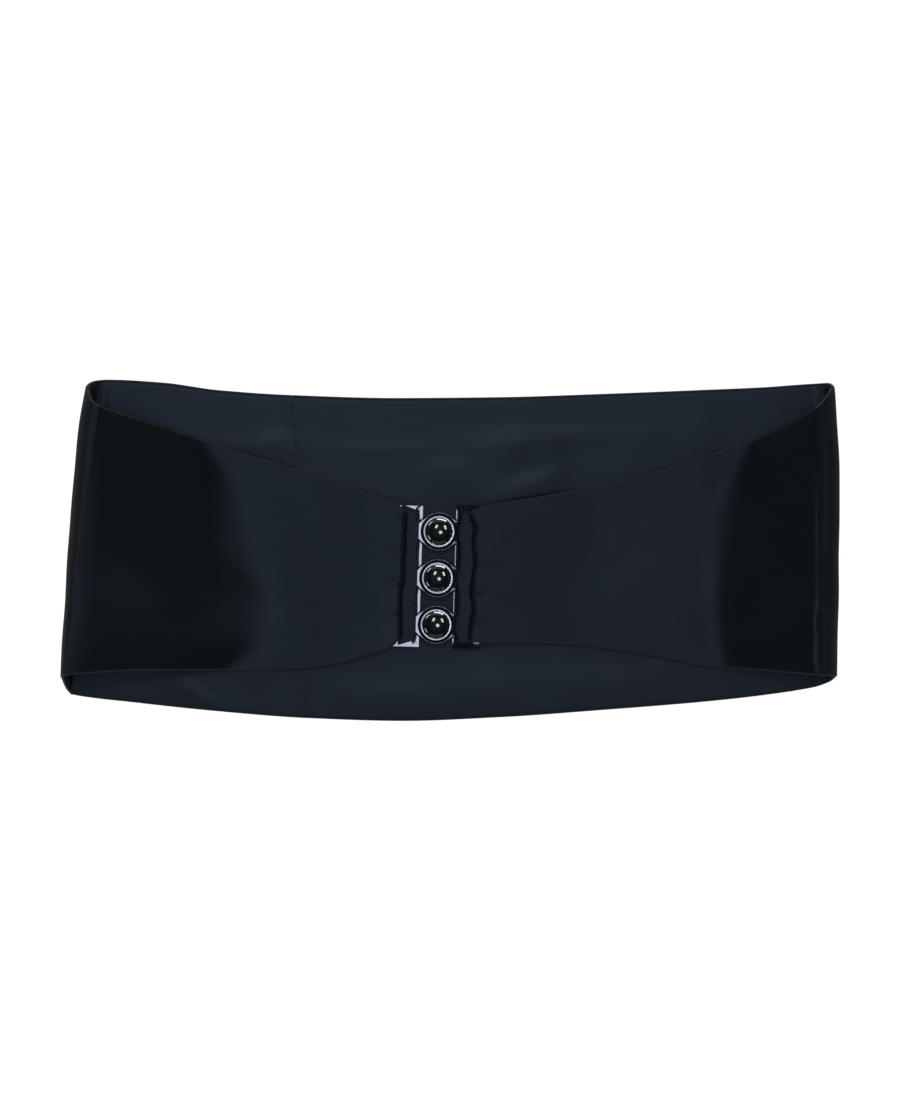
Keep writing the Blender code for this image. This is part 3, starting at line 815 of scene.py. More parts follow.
class Recipe:
    """Builds one material's nodes round its Principled shader."""

    def __init__(self, name: str) -> None:
        """Make an empty material of this name.

        Args:
            name: the material's name.
        """
        self.material = bpy.data.materials.new(name)
        self.material.use_nodes = True
        self.tree = self.material.node_tree
        self.tree.nodes.clear()
        self.output = self.tree.nodes.new("ShaderNodeOutputMaterial")
        self.shader = self.tree.nodes.new("ShaderNodeBsdfPrincipled")
        self.tree.links.new(self.shader.outputs["BSDF"], self.output.inputs["Surface"])

    def node(self, kind: str, settings: dict | None = None, inputs: dict | None = None) -> dict:
        """Add a node.

        Args:
            kind: the node's type.
            settings: properties to set first; "stops" is a colour ramp's list of places.
            inputs: values or links, by the input's name or number.

        Returns:
            The node's outputs by name, as values.
        """
        node = self.tree.nodes.new(kind)
        for key, value in (settings or {}).items():
            if key == "stops":
                self._stops(node, value)
            else:
                setattr(node, key, value)
        for key, value in (inputs or {}).items():
            self.feed(node.inputs[key], value)
        return {socket.name: Value(self, socket) for socket in node.outputs if socket.enabled}

    def _stops(self, node: bpy.types.Node, stops: list[tuple[float, float]]) -> None:
        """Set a ramp's stops to places and grey levels.

        Args:
            node: the ramp's node.
            stops: the places and their grey levels.
        """
        ramp = node.color_ramp
        while len(ramp.elements) < len(stops):
            ramp.elements.new(1.0)
        for element, (place, level) in zip(ramp.elements, stops):
            element.position = place
            element.color = (level, level, level, 1.0)

    def feed(self, socket: bpy.types.NodeSocket, value: object) -> None:
        """Link a value to a socket, or set the socket's own number or colour.

        Args:
            socket: the input.
            value: a value, number or colour.
        """
        if isinstance(value, Value):
            self.tree.links.new(value.socket, socket)
        else:
            socket.default_value = value

    def maths(self, operation: str, *values: "Value | float", clamp: bool = False) -> Value:
        """A Math node on these values."""
        settings = {"operation": operation, "use_clamp": clamp}
        return self.node("ShaderNodeMath", settings, dict(enumerate(values)))["Value"]

    def mix(self, share: "Value | float", low: object, high: object) -> Value:
        """A colour between two colours."""
        inputs = {0: share, 6: low, 7: high}
        return self.node("ShaderNodeMix", {"data_type": "RGBA"}, inputs)["Result"]

    def stretch(self, place: Value, scale: tuple[float, float, float]) -> Value:
        """A place with each axis scaled, for patterns that run one way."""
        return self.node("ShaderNodeMapping", None, {"Vector": place, "Scale": scale})["Vector"]

    def noise(self, place: Value, scale: float, detail: float = 2.0, distort: float = 0.0) -> Value:
        """Soft noise about 0.5."""
        inputs = {"Vector": place, "Scale": scale, "Detail": detail, "Distortion": distort}
        return self.node("ShaderNodeTexNoise", None, inputs)["Fac"]

    def bump(self, height: Value, strength: float, distance: float, under: Value | None = None) -> Value:
        """A bump from a height.

        Args:
            height: what stands up.
            strength: from 0 to 1.
            distance: the height of 1, in metres.
            under: a coarser or finer bump to add to.

        Returns:
            The normal.
        """
        inputs = {"Height": height, "Strength": strength, "Distance": distance}
        if under is not None:
            inputs["Normal"] = under
        return self.node("ShaderNodeBump", None, inputs)["Normal"]

    def finish(self, **sockets: object) -> bpy.types.Material:
        """Feed the shader's sockets, named with underscores, and return the material.

        Args:
            sockets: the values, by the sockets' names.

        Returns:
            The material.
        """
        for key, value in sockets.items():
            self.feed(self.shader.inputs[key.replace("_", " ")], value)
        return self.material


@dataclass(frozen=True)
class SatinFinish:
    """A woven satin: smooth floats with a soft sheen, fine slubs, and a painted highlight along its rolled
    edges.
    """

    name: str
    deep: tuple[float, float, float]
    pale: tuple[float, float, float]
    roughness: float
    sheen: tuple[float, float, float] = (0.49, 0.66, 1.0)
    ior: float = 1.55
    thread: float = 0.00042
    slub: float = 0.5
    # Painted highlight: how much the colour is lightened towards the rolled edges, as if they caught the
    # light.
    edge_gain: float = 0.55
    # The pale grey-green painted at the very edge, a painted highlight on the roll.
    folded: tuple[float, float, float] = (0.110, 0.135, 0.135)
    slub_scale: tuple[float, float, float] = (30.0, 900.0, 1.0)
    crush_scale: tuple[float, float, float] = (70.0, 160.0, 1.0)
    cloud_scale: float = 42.0
    weave_depth: float = 0.00002
    crush_depth: float = 0.00025

    def material(self) -> bpy.types.Material:
        """Build the material.

        Returns:
            The material.
        """
        make = Recipe(self.name)
        place = make.node("ShaderNodeUVMap", {"uv_map": "cloth"})["UV"]
        parts = make.node("ShaderNodeSeparateXYZ", None, {"Vector": place})
        along, across = parts["X"], parts["Y"]
        # A mask that is 1 at the cut edges and falls off inwards; it paints a highlight along the rolled
        # edges.
        edge = make.node("ShaderNodeAttribute", {"attribute_name": "edge_wear"})["Fac"]
        pitch = 2 * math.pi / self.thread
        twill = ((along * 0.35 + across) * pitch).sine()
        floats = ((along - across * 0.2) * (pitch * 0.2)).sine()
        weave = twill * 0.6 + floats * twill * 0.4
        slubs = make.noise(make.stretch(place, self.slub_scale), 1.0, 3.0)
        cloud = make.noise(place, self.cloud_scale, 3.0, 0.6)
        crush = make.noise(make.stretch(place, self.crush_scale), 1.0, 4.0, 1.2)
        # Random slubs and clouds, plus the painted edge highlight that lightens the colour towards the
        # edges.
        tone = (slubs * self.slub + cloud * 0.5 + edge * self.edge_gain - 0.25).clamped()
        rough = cloud * 0.10 + slubs * 0.06 + (self.roughness - 0.08)
        fine = make.bump(weave, 0.25, self.weave_depth)
        normal = make.bump(crush, 0.35, self.crush_depth, fine)
        cloth = make.mix(tone, (*self.deep, 1.0), (*self.pale, 1.0))
        return make.finish(
            # At the very edge the colour turns to the pale colour of the painted edge highlight.
            Base_Color=make.mix((edge**4.0) * (slubs + 0.4), cloth, (*self.folded, 1.0)),
            Roughness=rough,
            IOR=self.ior,
            Specular_Tint=(*self.sheen, 1.0),
            Normal=normal,
        )


@dataclass(frozen=True)
class MetalFinish:
    """A polished plated metal with faint smudges and hairline scratches."""

    name: str = "polished_silver_metal"
    colour: tuple[float, float, float] = (0.62, 0.68, 0.84)
    tarnish: tuple[float, float, float] = (0.42, 0.47, 0.60)
    roughness: float = 0.09
    smudge_scale: float = 260.0
    hairline_scale: tuple[float, float, float] = (900.0, 60.0, 900.0)
    scratched_above: float = 0.66
    scratch_depth: float = 0.00002

    def material(self) -> bpy.types.Material:
        """Build the material.

        Returns:
            The material.
        """
        make = Recipe(self.name)
        place = make.node("ShaderNodeTexCoord")["Object"]
        smudge = make.noise(place, self.smudge_scale, 4.0, 0.4)
        hairline = make.noise(make.stretch(place, self.hairline_scale), 1.0, 2.0)
        scratch = make.maths("GREATER_THAN", hairline, self.scratched_above)
        tone = (smudge * 1.3 - 0.45).clamped()
        return make.finish(
            Base_Color=make.mix(tone, (*self.colour, 1.0), (*self.tarnish, 1.0)),
            Metallic=1.0,
            Roughness=smudge * 0.10 + scratch * 0.06 + (self.roughness - 0.04),
            Normal=make.bump(hairline, 0.10, self.scratch_depth),
        )


@dataclass(frozen=True)
class StoneFinish:
    """An opaque black polished stone, with clouds so faint that only close light shows them."""

    name: str = "black_polished_stone"
    deep: tuple[float, float, float] = (0.0012, 0.0013, 0.0016)
    cloud: tuple[float, float, float] = (0.0045, 0.0050, 0.0042)
    roughness: float = 0.035
    cloud_scale: float = 190.0
    touch_scale: float = 620.0
    touch_depth: float = 0.00001

    def material(self) -> bpy.types.Material:
        """Build the material.

        Returns:
            The material.
        """
        make = Recipe(self.name)
        place = make.node("ShaderNodeTexCoord")["Object"]
        clouds = make.noise(place, self.cloud_scale, 3.0, 0.8)
        touch = make.noise(place, self.touch_scale, 3.0)
        return make.finish(
            Base_Color=make.mix(clouds, (*self.deep, 1.0), (*self.cloud, 1.0)),
            Roughness=touch * 0.03 + (self.roughness - 0.015),
            IOR=1.42,
            Normal=make.bump(touch, 0.03, self.touch_depth),
        )


@dataclass(frozen=True)
class ThreadFinish:
    """Sewing thread of two twisted plies."""

    name: str = "black_thread"
    deep: tuple[float, float, float] = (0.006, 0.008, 0.012)
    pale: tuple[float, float, float] = (0.020, 0.025, 0.034)
    ply: float = 0.00035
    ply_depth: float = 0.00003

    def material(self) -> bpy.types.Material:
        """Build the material.

        Returns:
            The material.
        """
        make = Recipe(self.name)
        place = make.node("ShaderNodeTexCoord")["Object"]
        parts = make.node("ShaderNodeSeparateXYZ", None, {"Vector": place})
        twist = ((parts["X"] + parts["Y"] + parts["Z"] * 1.5) * (2 * math.pi / self.ply)).sine()
        return make.finish(
            Base_Color=make.mix((twist * 0.5 + 0.5).clamped(), (*self.deep, 1.0), (*self.pale, 1.0)),
            Roughness=0.5,
            Normal=make.bump(twist, 0.3, self.ply_depth),
        )


@dataclass(frozen=True)
class FloorFinish:
    """A pale light table: nearly white, softly glowing, with the faintest unevenness."""

    name: str = "pale_table"
    colour: tuple[float, float, float] = (0.86, 0.86, 0.86)
    glow: float = 1.05
    dim: float = 0.12
    cloud_scale: float = 3.0
    cloud_dark: float = 0.985

    def material(self) -> bpy.types.Material:
        """Build the material.

        Returns:
            The material.
        """
        make = Recipe(self.name)
        place = make.node("ShaderNodeTexCoord")["Object"]
        cloud = make.noise(place, self.cloud_scale, 2.0)
        darker = tuple(self.cloud_dark * c for c in self.colour)
        seen = make.node("ShaderNodeLightPath")["Is Camera Ray"]
        return make.finish(
            Base_Color=make.mix(cloud, (*self.colour, 1.0), (*darker, 1.0)),
            Roughness=0.8,
            Emission_Color=make.mix(seen, (self.dim, self.dim, self.dim, 1.0), (1.0, 1.0, 1.0, 1.0)),
            Emission_Strength=self.glow,
        )


def in_scene(name: str, data: bpy.types.ID) -> bpy.types.Object:
    """A new object, linked into the scene.

    Args:
        name: its name.
        data: its mesh, lamp or camera.

    Returns:
        The object.
    """
    obj = bpy.data.objects.new(name, data)
    bpy.context.scene.collection.objects.link(obj)
    return obj


def add_piece(name: str, mesh: bpy.types.Mesh, material: bpy.types.Material) -> bpy.types.Object:
    """Put a mesh in the scene as a piece of the object.

    Args:
        name: the piece's name.
        mesh: its mesh, already in place.
        material: its only material.

    Returns:
        The new object.
    """
    mesh.name = name
    mesh.materials.clear()
    mesh.materials.append(material)
    return in_scene(name, mesh)


def mesh_from_bmesh(bm: bmesh.types.BMesh, name: str, sharp_at: float) -> bpy.types.Mesh:
    """Turn a bmesh into a smooth mesh whose faces point outwards.

    Args:
        bm: the bmesh, which is freed.
        name: the mesh's name.
        sharp_at: edges that turn further than these degrees stay sharp.

    Returns:
        The mesh.
    """
    bmesh.ops.recalc_face_normals(bm, faces=bm.faces)
    mesh = bpy.data.meshes.new(name)
    bm.to_mesh(mesh)
    bm.free()
    mesh.shade_smooth()
    mesh.set_sharp_from_angle(angle=math.radians(sharp_at))
    return mesh


def applied(obj: bpy.types.Object) -> bpy.types.Mesh:
    """The object's mesh with its modifiers applied, after which the object is removed.

    Args:
        obj: an object that is in the scene.

    Returns:
        The mesh.
    """
    graph = bpy.context.evaluated_depsgraph_get()
    mesh = bpy.data.meshes.new_from_object(obj.evaluated_get(graph))
    bpy.data.objects.remove(obj, do_unlink=True)
    return mesh


@dataclass(frozen=True)
class Ring:
    """A cloth piece's section: where each point lies across the band and how deep it lies."""

    share: np.ndarray
    offset: np.ndarray
    depth: np.ndarray
    bead: np.ndarray
    loft: np.ndarray
    # How much painted highlight each point gets: 1 at the cut edges, falling off inwards.
    wear: np.ndarray


@dataclass
class ClothPiece:
    """One cut piece of cloth with rounded edges, swept along its stretch of the band."""

    name: str
    band: BandShape
    first: int
    last: int
    ring: Ring
    bead: np.ndarray

    BEAD_GROWTH = 0.2
    SHARP_AT = 55.0

    def points(self) -> np.ndarray:
        """The ring's points at every station of the piece.

        Returns:
            The points, by station and place in the ring.
        """
        stations = np.arange(self.first, self.last + 1)
        band, ring = self.band, self.ring
        width = (band.top - band.bottom)[stations][:, None]
        grow = 1.0 + self.BEAD_GROWTH * self.bead[stations][:, None] * ring.bead[None, :]
        share = ring.share[None, :] + ring.offset[None, :] * grow / width
        loft = band.read(band.lining_lift, stations, share) * ring.loft[None, :]
        depth = ring.depth[None, :] * grow + loft
        found = band.beneath(stations, share, depth[..., None])
        for end, way in ((0, 1), (-1, -1)):
            if stations[end] == band.seam:
                found[end, :, 0] += way * band.seam_half_gap
        return found

    def mesh(self) -> bpy.types.Mesh:
        """The closed mesh, with its cloth UV map and its painted edge highlight.

        Returns:
            The mesh.
        """
        points = self.points()
        count, around = points.shape[:2]
        faces = []
        for i in range(count - 1):
            base, ahead = i * around, (i + 1) * around
            for j in range(around):
                k = (j + 1) % around
                faces.append((base + j, ahead + j, ahead + k, base + k))
        half = around // 2
        for start, flip in ((0, False), ((count - 1) * around, True)):
            for j in range(half - 1):
                quad = (start + j, start + j + 1, start + around - 2 - j, start + around - 1 - j)
                faces.append(quad[::-1] if flip else quad)
        mesh = bpy.data.meshes.new(self.name)
        mesh.from_pydata(points.reshape(-1, 3).tolist(), [], faces)
        self._lay_cloth_map(mesh, count, around)
        bm = bmesh.new()
        bm.from_mesh(mesh)
        bmesh.ops.recalc_face_normals(bm, faces=bm.faces)
        bm.to_mesh(mesh)
        bm.free()
        mesh.shade_smooth()
        mesh.set_sharp_from_angle(angle=math.radians(self.SHARP_AT))
        self._press_ridges(mesh, around)
        return mesh

    def _press_ridges(self, mesh: bpy.types.Mesh, around: int) -> None:
        """Mark the edges along the loops' crests as sharp.

        Args:
            mesh: the piece's mesh, changed in place.
            around: the points in its ring.
        """
        ends = np.empty(2 * len(mesh.edges), int)
        mesh.edges.foreach_get("vertices", ends)
        first, last = (ends.reshape(-1, 2) // around + self.first).T
        for k in np.flatnonzero((first == last) & np.isin(first, self.band.ridges())):
            mesh.edges[int(k)].use_edge_sharp = True

    def _lay_cloth_map(self, mesh: bpy.types.Mesh, count: int, around: int) -> None:
        """Store each point's place on the flat cloth, and how much painted highlight it gets.

        Args:
            mesh: the piece's mesh.
            count: its stations.
            around: the points in its ring.
        """
        stations = np.arange(self.first, self.last + 1)
        width = (self.band.top - self.band.bottom)[stations][:, None]
        along = np.repeat(self.band.distance[stations][:, None], around, axis=1)
        across = self.band.bottom[stations][:, None] + self.ring.share * width + self.ring.offset
        flat = np.stack([along, across], axis=-1).reshape(-1, 2)
        corners = np.empty(len(mesh.loops), int)
        mesh.loops.foreach_get("vertex_index", corners)
        layer = mesh.uv_layers.new(name="cloth")
        layer.data.foreach_set("uv", flat[corners].astype(np.float32).ravel())
        # The painted edge highlight, stored as an attribute that the satin's colour reads.
        wear = mesh.attributes.new("edge_wear", "FLOAT", "POINT")
        highlight_share = np.tile(self.ring.wear, count).astype(np.float32)
        wear.data.foreach_set("value", highlight_share)

    def cut_size(self) -> tuple[float, float, float]:
        """The flat cut's width, length and area.

        Returns:
            The three measures in metres and square metres.
        """
        stations = slice(self.first, self.last + 1)
        inset = self.ring.offset[self.ring.share == 0.0].min()
        width = (self.band.top - self.band.bottom)[stations] - 2 * inset
        along = self.band.distance[stations]
        area = float(np.sum((width[1:] + width[:-1]) / 2 * np.diff(along)))
        return float(width.max()), float(along[-1] - along[0]), area


@dataclass
class Cloth:
    """The satin shell and its lining, each cut in two pieces that meet at the back's seam."""

    band: BandShape
    shell_rows: int = 92
    lining_rows: int = 84
    roll_steps: int = 5
    edge_support: float = 0.0002
    lining_inset: float = 0.0012
    lining_reach: float = 0.0236
    flat_inset: float = 0.0021
    lining_roll_steps: int = 4
    usual_width: float = 0.14
    # How far in from the edges the painted highlight reaches.
    wear_reach: float = 0.0011
    bead_run: float = 0.006
    lofted_above: float = 0.6

    def shell_ring(self) -> Ring:
        """The shell's section: flat outer face, rolled edges, and a plain inner face.

        Returns:
            The section.
        """
        radius = SHELL_WALL / 2
        across = np.linspace(0.0, 1.0, self.shell_rows + 1)
        rows = [(a, radius * (1 - 2 * a), 0.0, 0.0) for a in across]
        support = self.edge_support + radius
        rows[1:1] = [(0.0, support, 0.0, 0.0)]
        rows[-1:-1] = [(1.0, -support, 0.0, 0.0)]
        roll = [math.pi * (k + 1) / self.roll_steps for k in range(self.roll_steps)]
        rows += [
            (1.0, -radius * (1 - math.sin(t)), radius * (1 - math.cos(t)), 1.0) for t in roll
        ]
        inset = self.flat_inset
        rows += [(1.0, -support, SHELL_WALL, 0.0), (1.0, -inset, SHELL_WALL, 0.0)]
        rows += [(a, inset * (1 - 2 * a), SHELL_WALL, 0.0) for a in across[-2:0:-1]]
        rows += [(0.0, inset, SHELL_WALL, 0.0), (0.0, support, SHELL_WALL, 0.0)]
        rows += [
            (0.0, radius * (1 - math.sin(t)), radius * (1 - math.cos(t)), 1.0) for t in roll[::-1]
        ]
        return self._ring(rows, loft=False)

    def lining_ring(self) -> Ring:
        """The lining's section: its face towards the shell and its face inside the loop.

        Returns:
            The section.
        """
        radius = LINING_WALL / 2
        across = np.linspace(0.0, 1.0, self.lining_rows + 1)
        inset = self.lining_inset + radius
        rows = [(a, inset * (1 - 2 * a), LINING_DEPTH, 0.0) for a in across]
        roll = [math.pi * (k + 0.5) / self.lining_roll_steps for k in range(self.lining_roll_steps)]
        rows += [
            (1.0, -inset + radius * math.sin(t), LINING_DEPTH + radius * (1 - math.cos(t)), 0.0)
            for t in roll
        ]
        rows += [(a, inset * (1 - 2 * a), STACK, 0.0) for a in across[::-1]]
        rows += [
            (0.0, inset - radius * math.sin(t), LINING_DEPTH + radius * (1 - math.cos(t)), 0.0)
            for t in roll[::-1]
        ]
        return self._ring(rows, loft=True)

    def _ring(self, rows: list[tuple], loft: bool) -> Ring:
        """Arrays from rows of share, offset, depth and bead, with the painted edge highlight worked out
        from them.

        Args:
            rows: share, offset, depth and bead of each point.
            loft: whether the points on the inner face rise with the creases.

        Returns:
            The section.
        """
        share, offset, depth, bead = (np.array(column) for column in zip(*rows))
        width = self.usual_width
        distance = np.where(share < 0.5, share * width + offset, (1 - share) * width - offset)
        # Painted highlight: 1 at the cut edges, falling off inwards.
        wear = np.exp(-np.maximum(distance, 0.0) / self.wear_reach)
        lofted = loft & (depth > LINING_DEPTH + LINING_WALL * self.lofted_above)
        return Ring(share, offset, depth, bead, lofted * 1.0, wear)

    def bead_along(self) -> np.ndarray:
        """Where the shell's edge is rolled thick over the lining, from 0 to 1 at each station.

        Returns:
            A share for each station.
        """
        reach = np.abs(self.band.middle_x - CLASP_X) - self.lining_reach
        bead = smoothstep(reach / self.bead_run)
        bead = np.where(self.band.on(Run.TAIL) | self.band.on(Run.WRAP), 0.0, bead)
        return np.where(self.band.on(Run.BACK) | self.band.on(Run.FOLD), 1.0, bead)

    def lining_span(self) -> tuple[int, int]:
        """The stations where the linings start and end.

        Returns:
            The left lining's first station and the right lining's last.
        """
        reach = np.abs(self.band.middle_x - CLASP_X)
        lined = np.flatnonzero(self.band.on(Run.FRONT) & (reach > self.lining_reach))
        return int(lined[0]), int(lined[-1])

    def build(self, satin: bpy.types.Material, lining: bpy.types.Material) -> dict:
        """Args:
            satin: the shell's material.
            lining: the lining's material.

        Returns:
            The pieces by name.
        """
        band, bead = self.band, self.bead_along()
        whole, lined = (0, len(band.runs) - 1), self.lining_span()
        outer, inner = (self.shell_ring(), satin, "satin"), (self.lining_ring(), lining, "lining_satin")
        spans = {
            "shell_left": (whole[0], band.seam, *outer),
            "shell_right": (band.seam, whole[1], *outer),
            "lining_left": (lined[0], band.seam, *inner),
            "lining_right": (band.seam, lined[1], *inner),
        }
        made = {}
        for node, (first, last, ring, material, slot) in spans.items():
            piece = ClothPiece(f"{node}_cloth", band, first, last, ring, bead)
            obj = add_piece(piece.name, piece.mesh(), material)
            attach(obj, BODY)
            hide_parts(node)
            made[node] = (obj, piece.cut_size())
        return made


@dataclass
class StitchTree:
    """A Geometry Nodes tree that lays stitches along an edge path."""

    name: str
    thread: bpy.types.Material
    seed: int = 7

    KINDS = {
        "given": "NodeGroupInput",
        "curve": "GeometryNodeMeshToCurve",
        "points": "GeometryNodeCurveToPoints",
        "bead": "GeometryNodeMeshUVSphere",
        "size": "ShaderNodeCombineXYZ",
        "shape": "GeometryNodeTransform",
        "aim": "FunctionNodeAlignRotationToVector",
        "stray": "FunctionNodeRandomValue",
        "least": "ShaderNodeMath",
        "swing": "FunctionNodeRotateRotation",
        "place": "GeometryNodeInstanceOnPoints",
        "real": "GeometryNodeRealizeInstances",
        "smooth": "GeometryNodeSetShadeSmooth",
        "dress": "GeometryNodeSetMaterial",
        "result": "NodeGroupOutput",
    }
    SETTINGS = (
        ("points", "mode", "LENGTH"),
        ("aim", "axis", "X"),
        ("stray", "data_type", "FLOAT_VECTOR"),
        ("least", "operation", "MULTIPLY"),
        ("swing", "rotation_space", "LOCAL"),
    )
    NUMBERS = (("bead", "Segments", 6), ("bead", "Rings", 5), ("bead", "Radius", 0.5), ("least", 1, -1.0))
    LINKS = (
        ("given.Path", "curve.Mesh"),
        ("curve.Curve", "points.Curve"),
        ("given.Pitch", "points.Length"),
        ("given.Stitch", "size.X"),
        ("given.Thread", "size.Y"),
        ("given.Thread", "size.Z"),
        ("bead.Mesh", "shape.Geometry"),
        ("size.Vector", "shape.Scale"),
        ("points.Points", "place.Points"),
        ("shape.Geometry", "place.Instance"),
        ("points.Tangent", "aim.Vector"),
        ("given.Stray", "least.0"),
        ("least.Value", "stray.0"),
        ("given.Stray", "stray.1"),
        ("aim.Rotation", "swing.Rotation"),
        ("stray.Value", "swing.Rotate By"),
        ("swing.Rotation", "place.Rotation"),
        ("place.Instances", "real.Geometry"),
        ("real.Geometry", "smooth.Geometry"),
        ("smooth.Geometry", "dress.Geometry"),
        ("dress.Geometry", "result.Stitches"),
    )

    def build(self) -> tuple[bpy.types.NodeTree, dict[str, str]]:
        """Build the tree.

        Returns:
            The tree, and the identifier of each of its named inputs.
        """
        tree = bpy.data.node_groups.new(self.name, "GeometryNodeTree")
        face = tree.interface
        face.new_socket("Path", in_out="INPUT", socket_type="NodeSocketGeometry")
        names = {}
        for name, value in (("Pitch", 0.003), ("Stitch", 0.0012), ("Thread", 0.00016), ("Stray", 0.2)):
            socket = face.new_socket(name, in_out="INPUT", socket_type="NodeSocketFloat")
            socket.default_value = value
            names[name] = socket.identifier
        face.new_socket("Stitches", in_out="OUTPUT", socket_type="NodeSocketGeometry")
        made = self._nodes(tree)
        self._links(tree, made)
        return tree, names

    def _nodes(self, tree: bpy.types.NodeTree) -> dict[str, bpy.types.Node]:
        """The tree's nodes by what they do.

        Args:
            tree: the tree, changed in place.

        Returns:
            The nodes.
        """
        made = {key: tree.nodes.new(kind) for key, kind in self.KINDS.items()}
        for key, name, value in self.SETTINGS:
            setattr(made[key], name, value)
        for key, name, value in self.NUMBERS:
            made[key].inputs[name].default_value = value
        made["stray"].inputs["Seed"].default_value = self.seed
        made["dress"].inputs["Material"].default_value = self.thread
        return made

    def _links(self, tree: bpy.types.NodeTree, made: dict[str, bpy.types.Node]) -> None:
        """Join the nodes, from the path in to the dressed stitches out.

        Args:
            tree: the tree, changed in place.
            made: its nodes by what they do.
        """
        for source, target in self.LINKS:
            (giver, output), (taker, entry) = source.split("."), target.split(".")
            socket = made[taker].inputs[int(entry) if entry.isdigit() else entry]
            tree.links.new(made[giver].outputs[output], socket)


@dataclass(frozen=True)
class StitchRow:
    """One row of stitches: how far apart, how long, how thick and how crooked they are."""

    name: str
    pitch: float
    stitch: float
    thread: float
    stray: float


@dataclass
class Stitching:
    """The slip stitches along the lining's edges and the machine stitches of the seam."""

    band: BandShape
    tree: StitchTree
    edge_inset: float = 0.0013
    edge_depth: float = STACK - 0.0003
    edge_stride: int = 2
    seam_depth: float = STACK - 0.00055
    seam_margin: float = 0.02
    seam_points: int = 120

    ROWS = (
        StitchRow("slip_stitches_left", 0.0042, 0.0011, 0.00016, 0.22),
        StitchRow("slip_stitches_right", 0.0042, 0.0011, 0.00016, 0.22),
        StitchRow("seam_stitches", 0.0034, 0.0008, 0.00012, 0.12),
    )

    def _edge_path(self, first: int, last: int, top: bool) -> np.ndarray:
        """Points just inside one edge, on the join of shell and lining.

        Args:
            first: the first station.
            last: the last station.
            top: whether it is the upper edge.

        Returns:
            The points.
        """
        stations = np.arange(first, last + 1, self.edge_stride)
        width = (self.band.top - self.band.bottom)[stations][:, None]
        share = self.edge_inset / width
        share = 1.0 - share if top else share
        return self.band.beneath(stations, share, self.edge_depth)[:, 0]

    def _seam_path(self) -> np.ndarray:
        """Points down in the seam's groove, from edge to edge."""
        share = np.linspace(self.seam_margin, 1.0 - self.seam_margin, self.seam_points)[None, :]
        return self.band.beneath(np.array([self.band.seam]), share, self.seam_depth)[0]

    def _paths(self, first: int, last: int) -> dict[str, list[np.ndarray]]:
        """The paths of each row of stitches.

        Args:
            first: the lining's first station.
            last: the lining's last station.

        Returns:
            Lists of paths by the row's name.
        """
        seam = self.band.seam
        return {
            "slip_stitches_left": [self._edge_path(first, seam, top) for top in (True, False)],
            "slip_stitches_right": [self._edge_path(seam, last, top) for top in (True, False)],
            "seam_stitches": [self._seam_path()],
        }

    def build(self, first: int, last: int) -> dict[str, bpy.types.Object]:
        """Make every row as a plain mesh.

        Args:
            first: the lining's first station.
            last: the lining's last station.

        Returns:
            The stitches by name.
        """
        tree, inputs = self.tree.build()
        made = {}
        paths = self._paths(first, last)
        for row in self.ROWS:
            carrier = in_scene("path", self._path_mesh(paths[row.name]))
            modifier = carrier.modifiers.new("stitches", "NODES")
            modifier.node_group = tree
            for name, socket in inputs.items():
                modifier[socket] = getattr(row, name.lower())
            obj = add_piece(row.name, applied(carrier), self.tree.thread)
            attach(obj, BODY)
            made[row.name] = obj
        return made

    def _path_mesh(self, paths: list[np.ndarray]) -> bpy.types.Mesh:
        """A mesh of edges only, one strand a path.

        Args:
            paths: the points of each strand.

        Returns:
            The mesh.
        """
        mesh = bpy.data.meshes.new("path")
        points, edges = [], []
        for path in paths:
            start = len(points)
            points += path.tolist()
            edges += [(start + k, start + k + 1) for k in range(len(path) - 1)]
        mesh.from_pydata(points, edges, [])
        return mesh


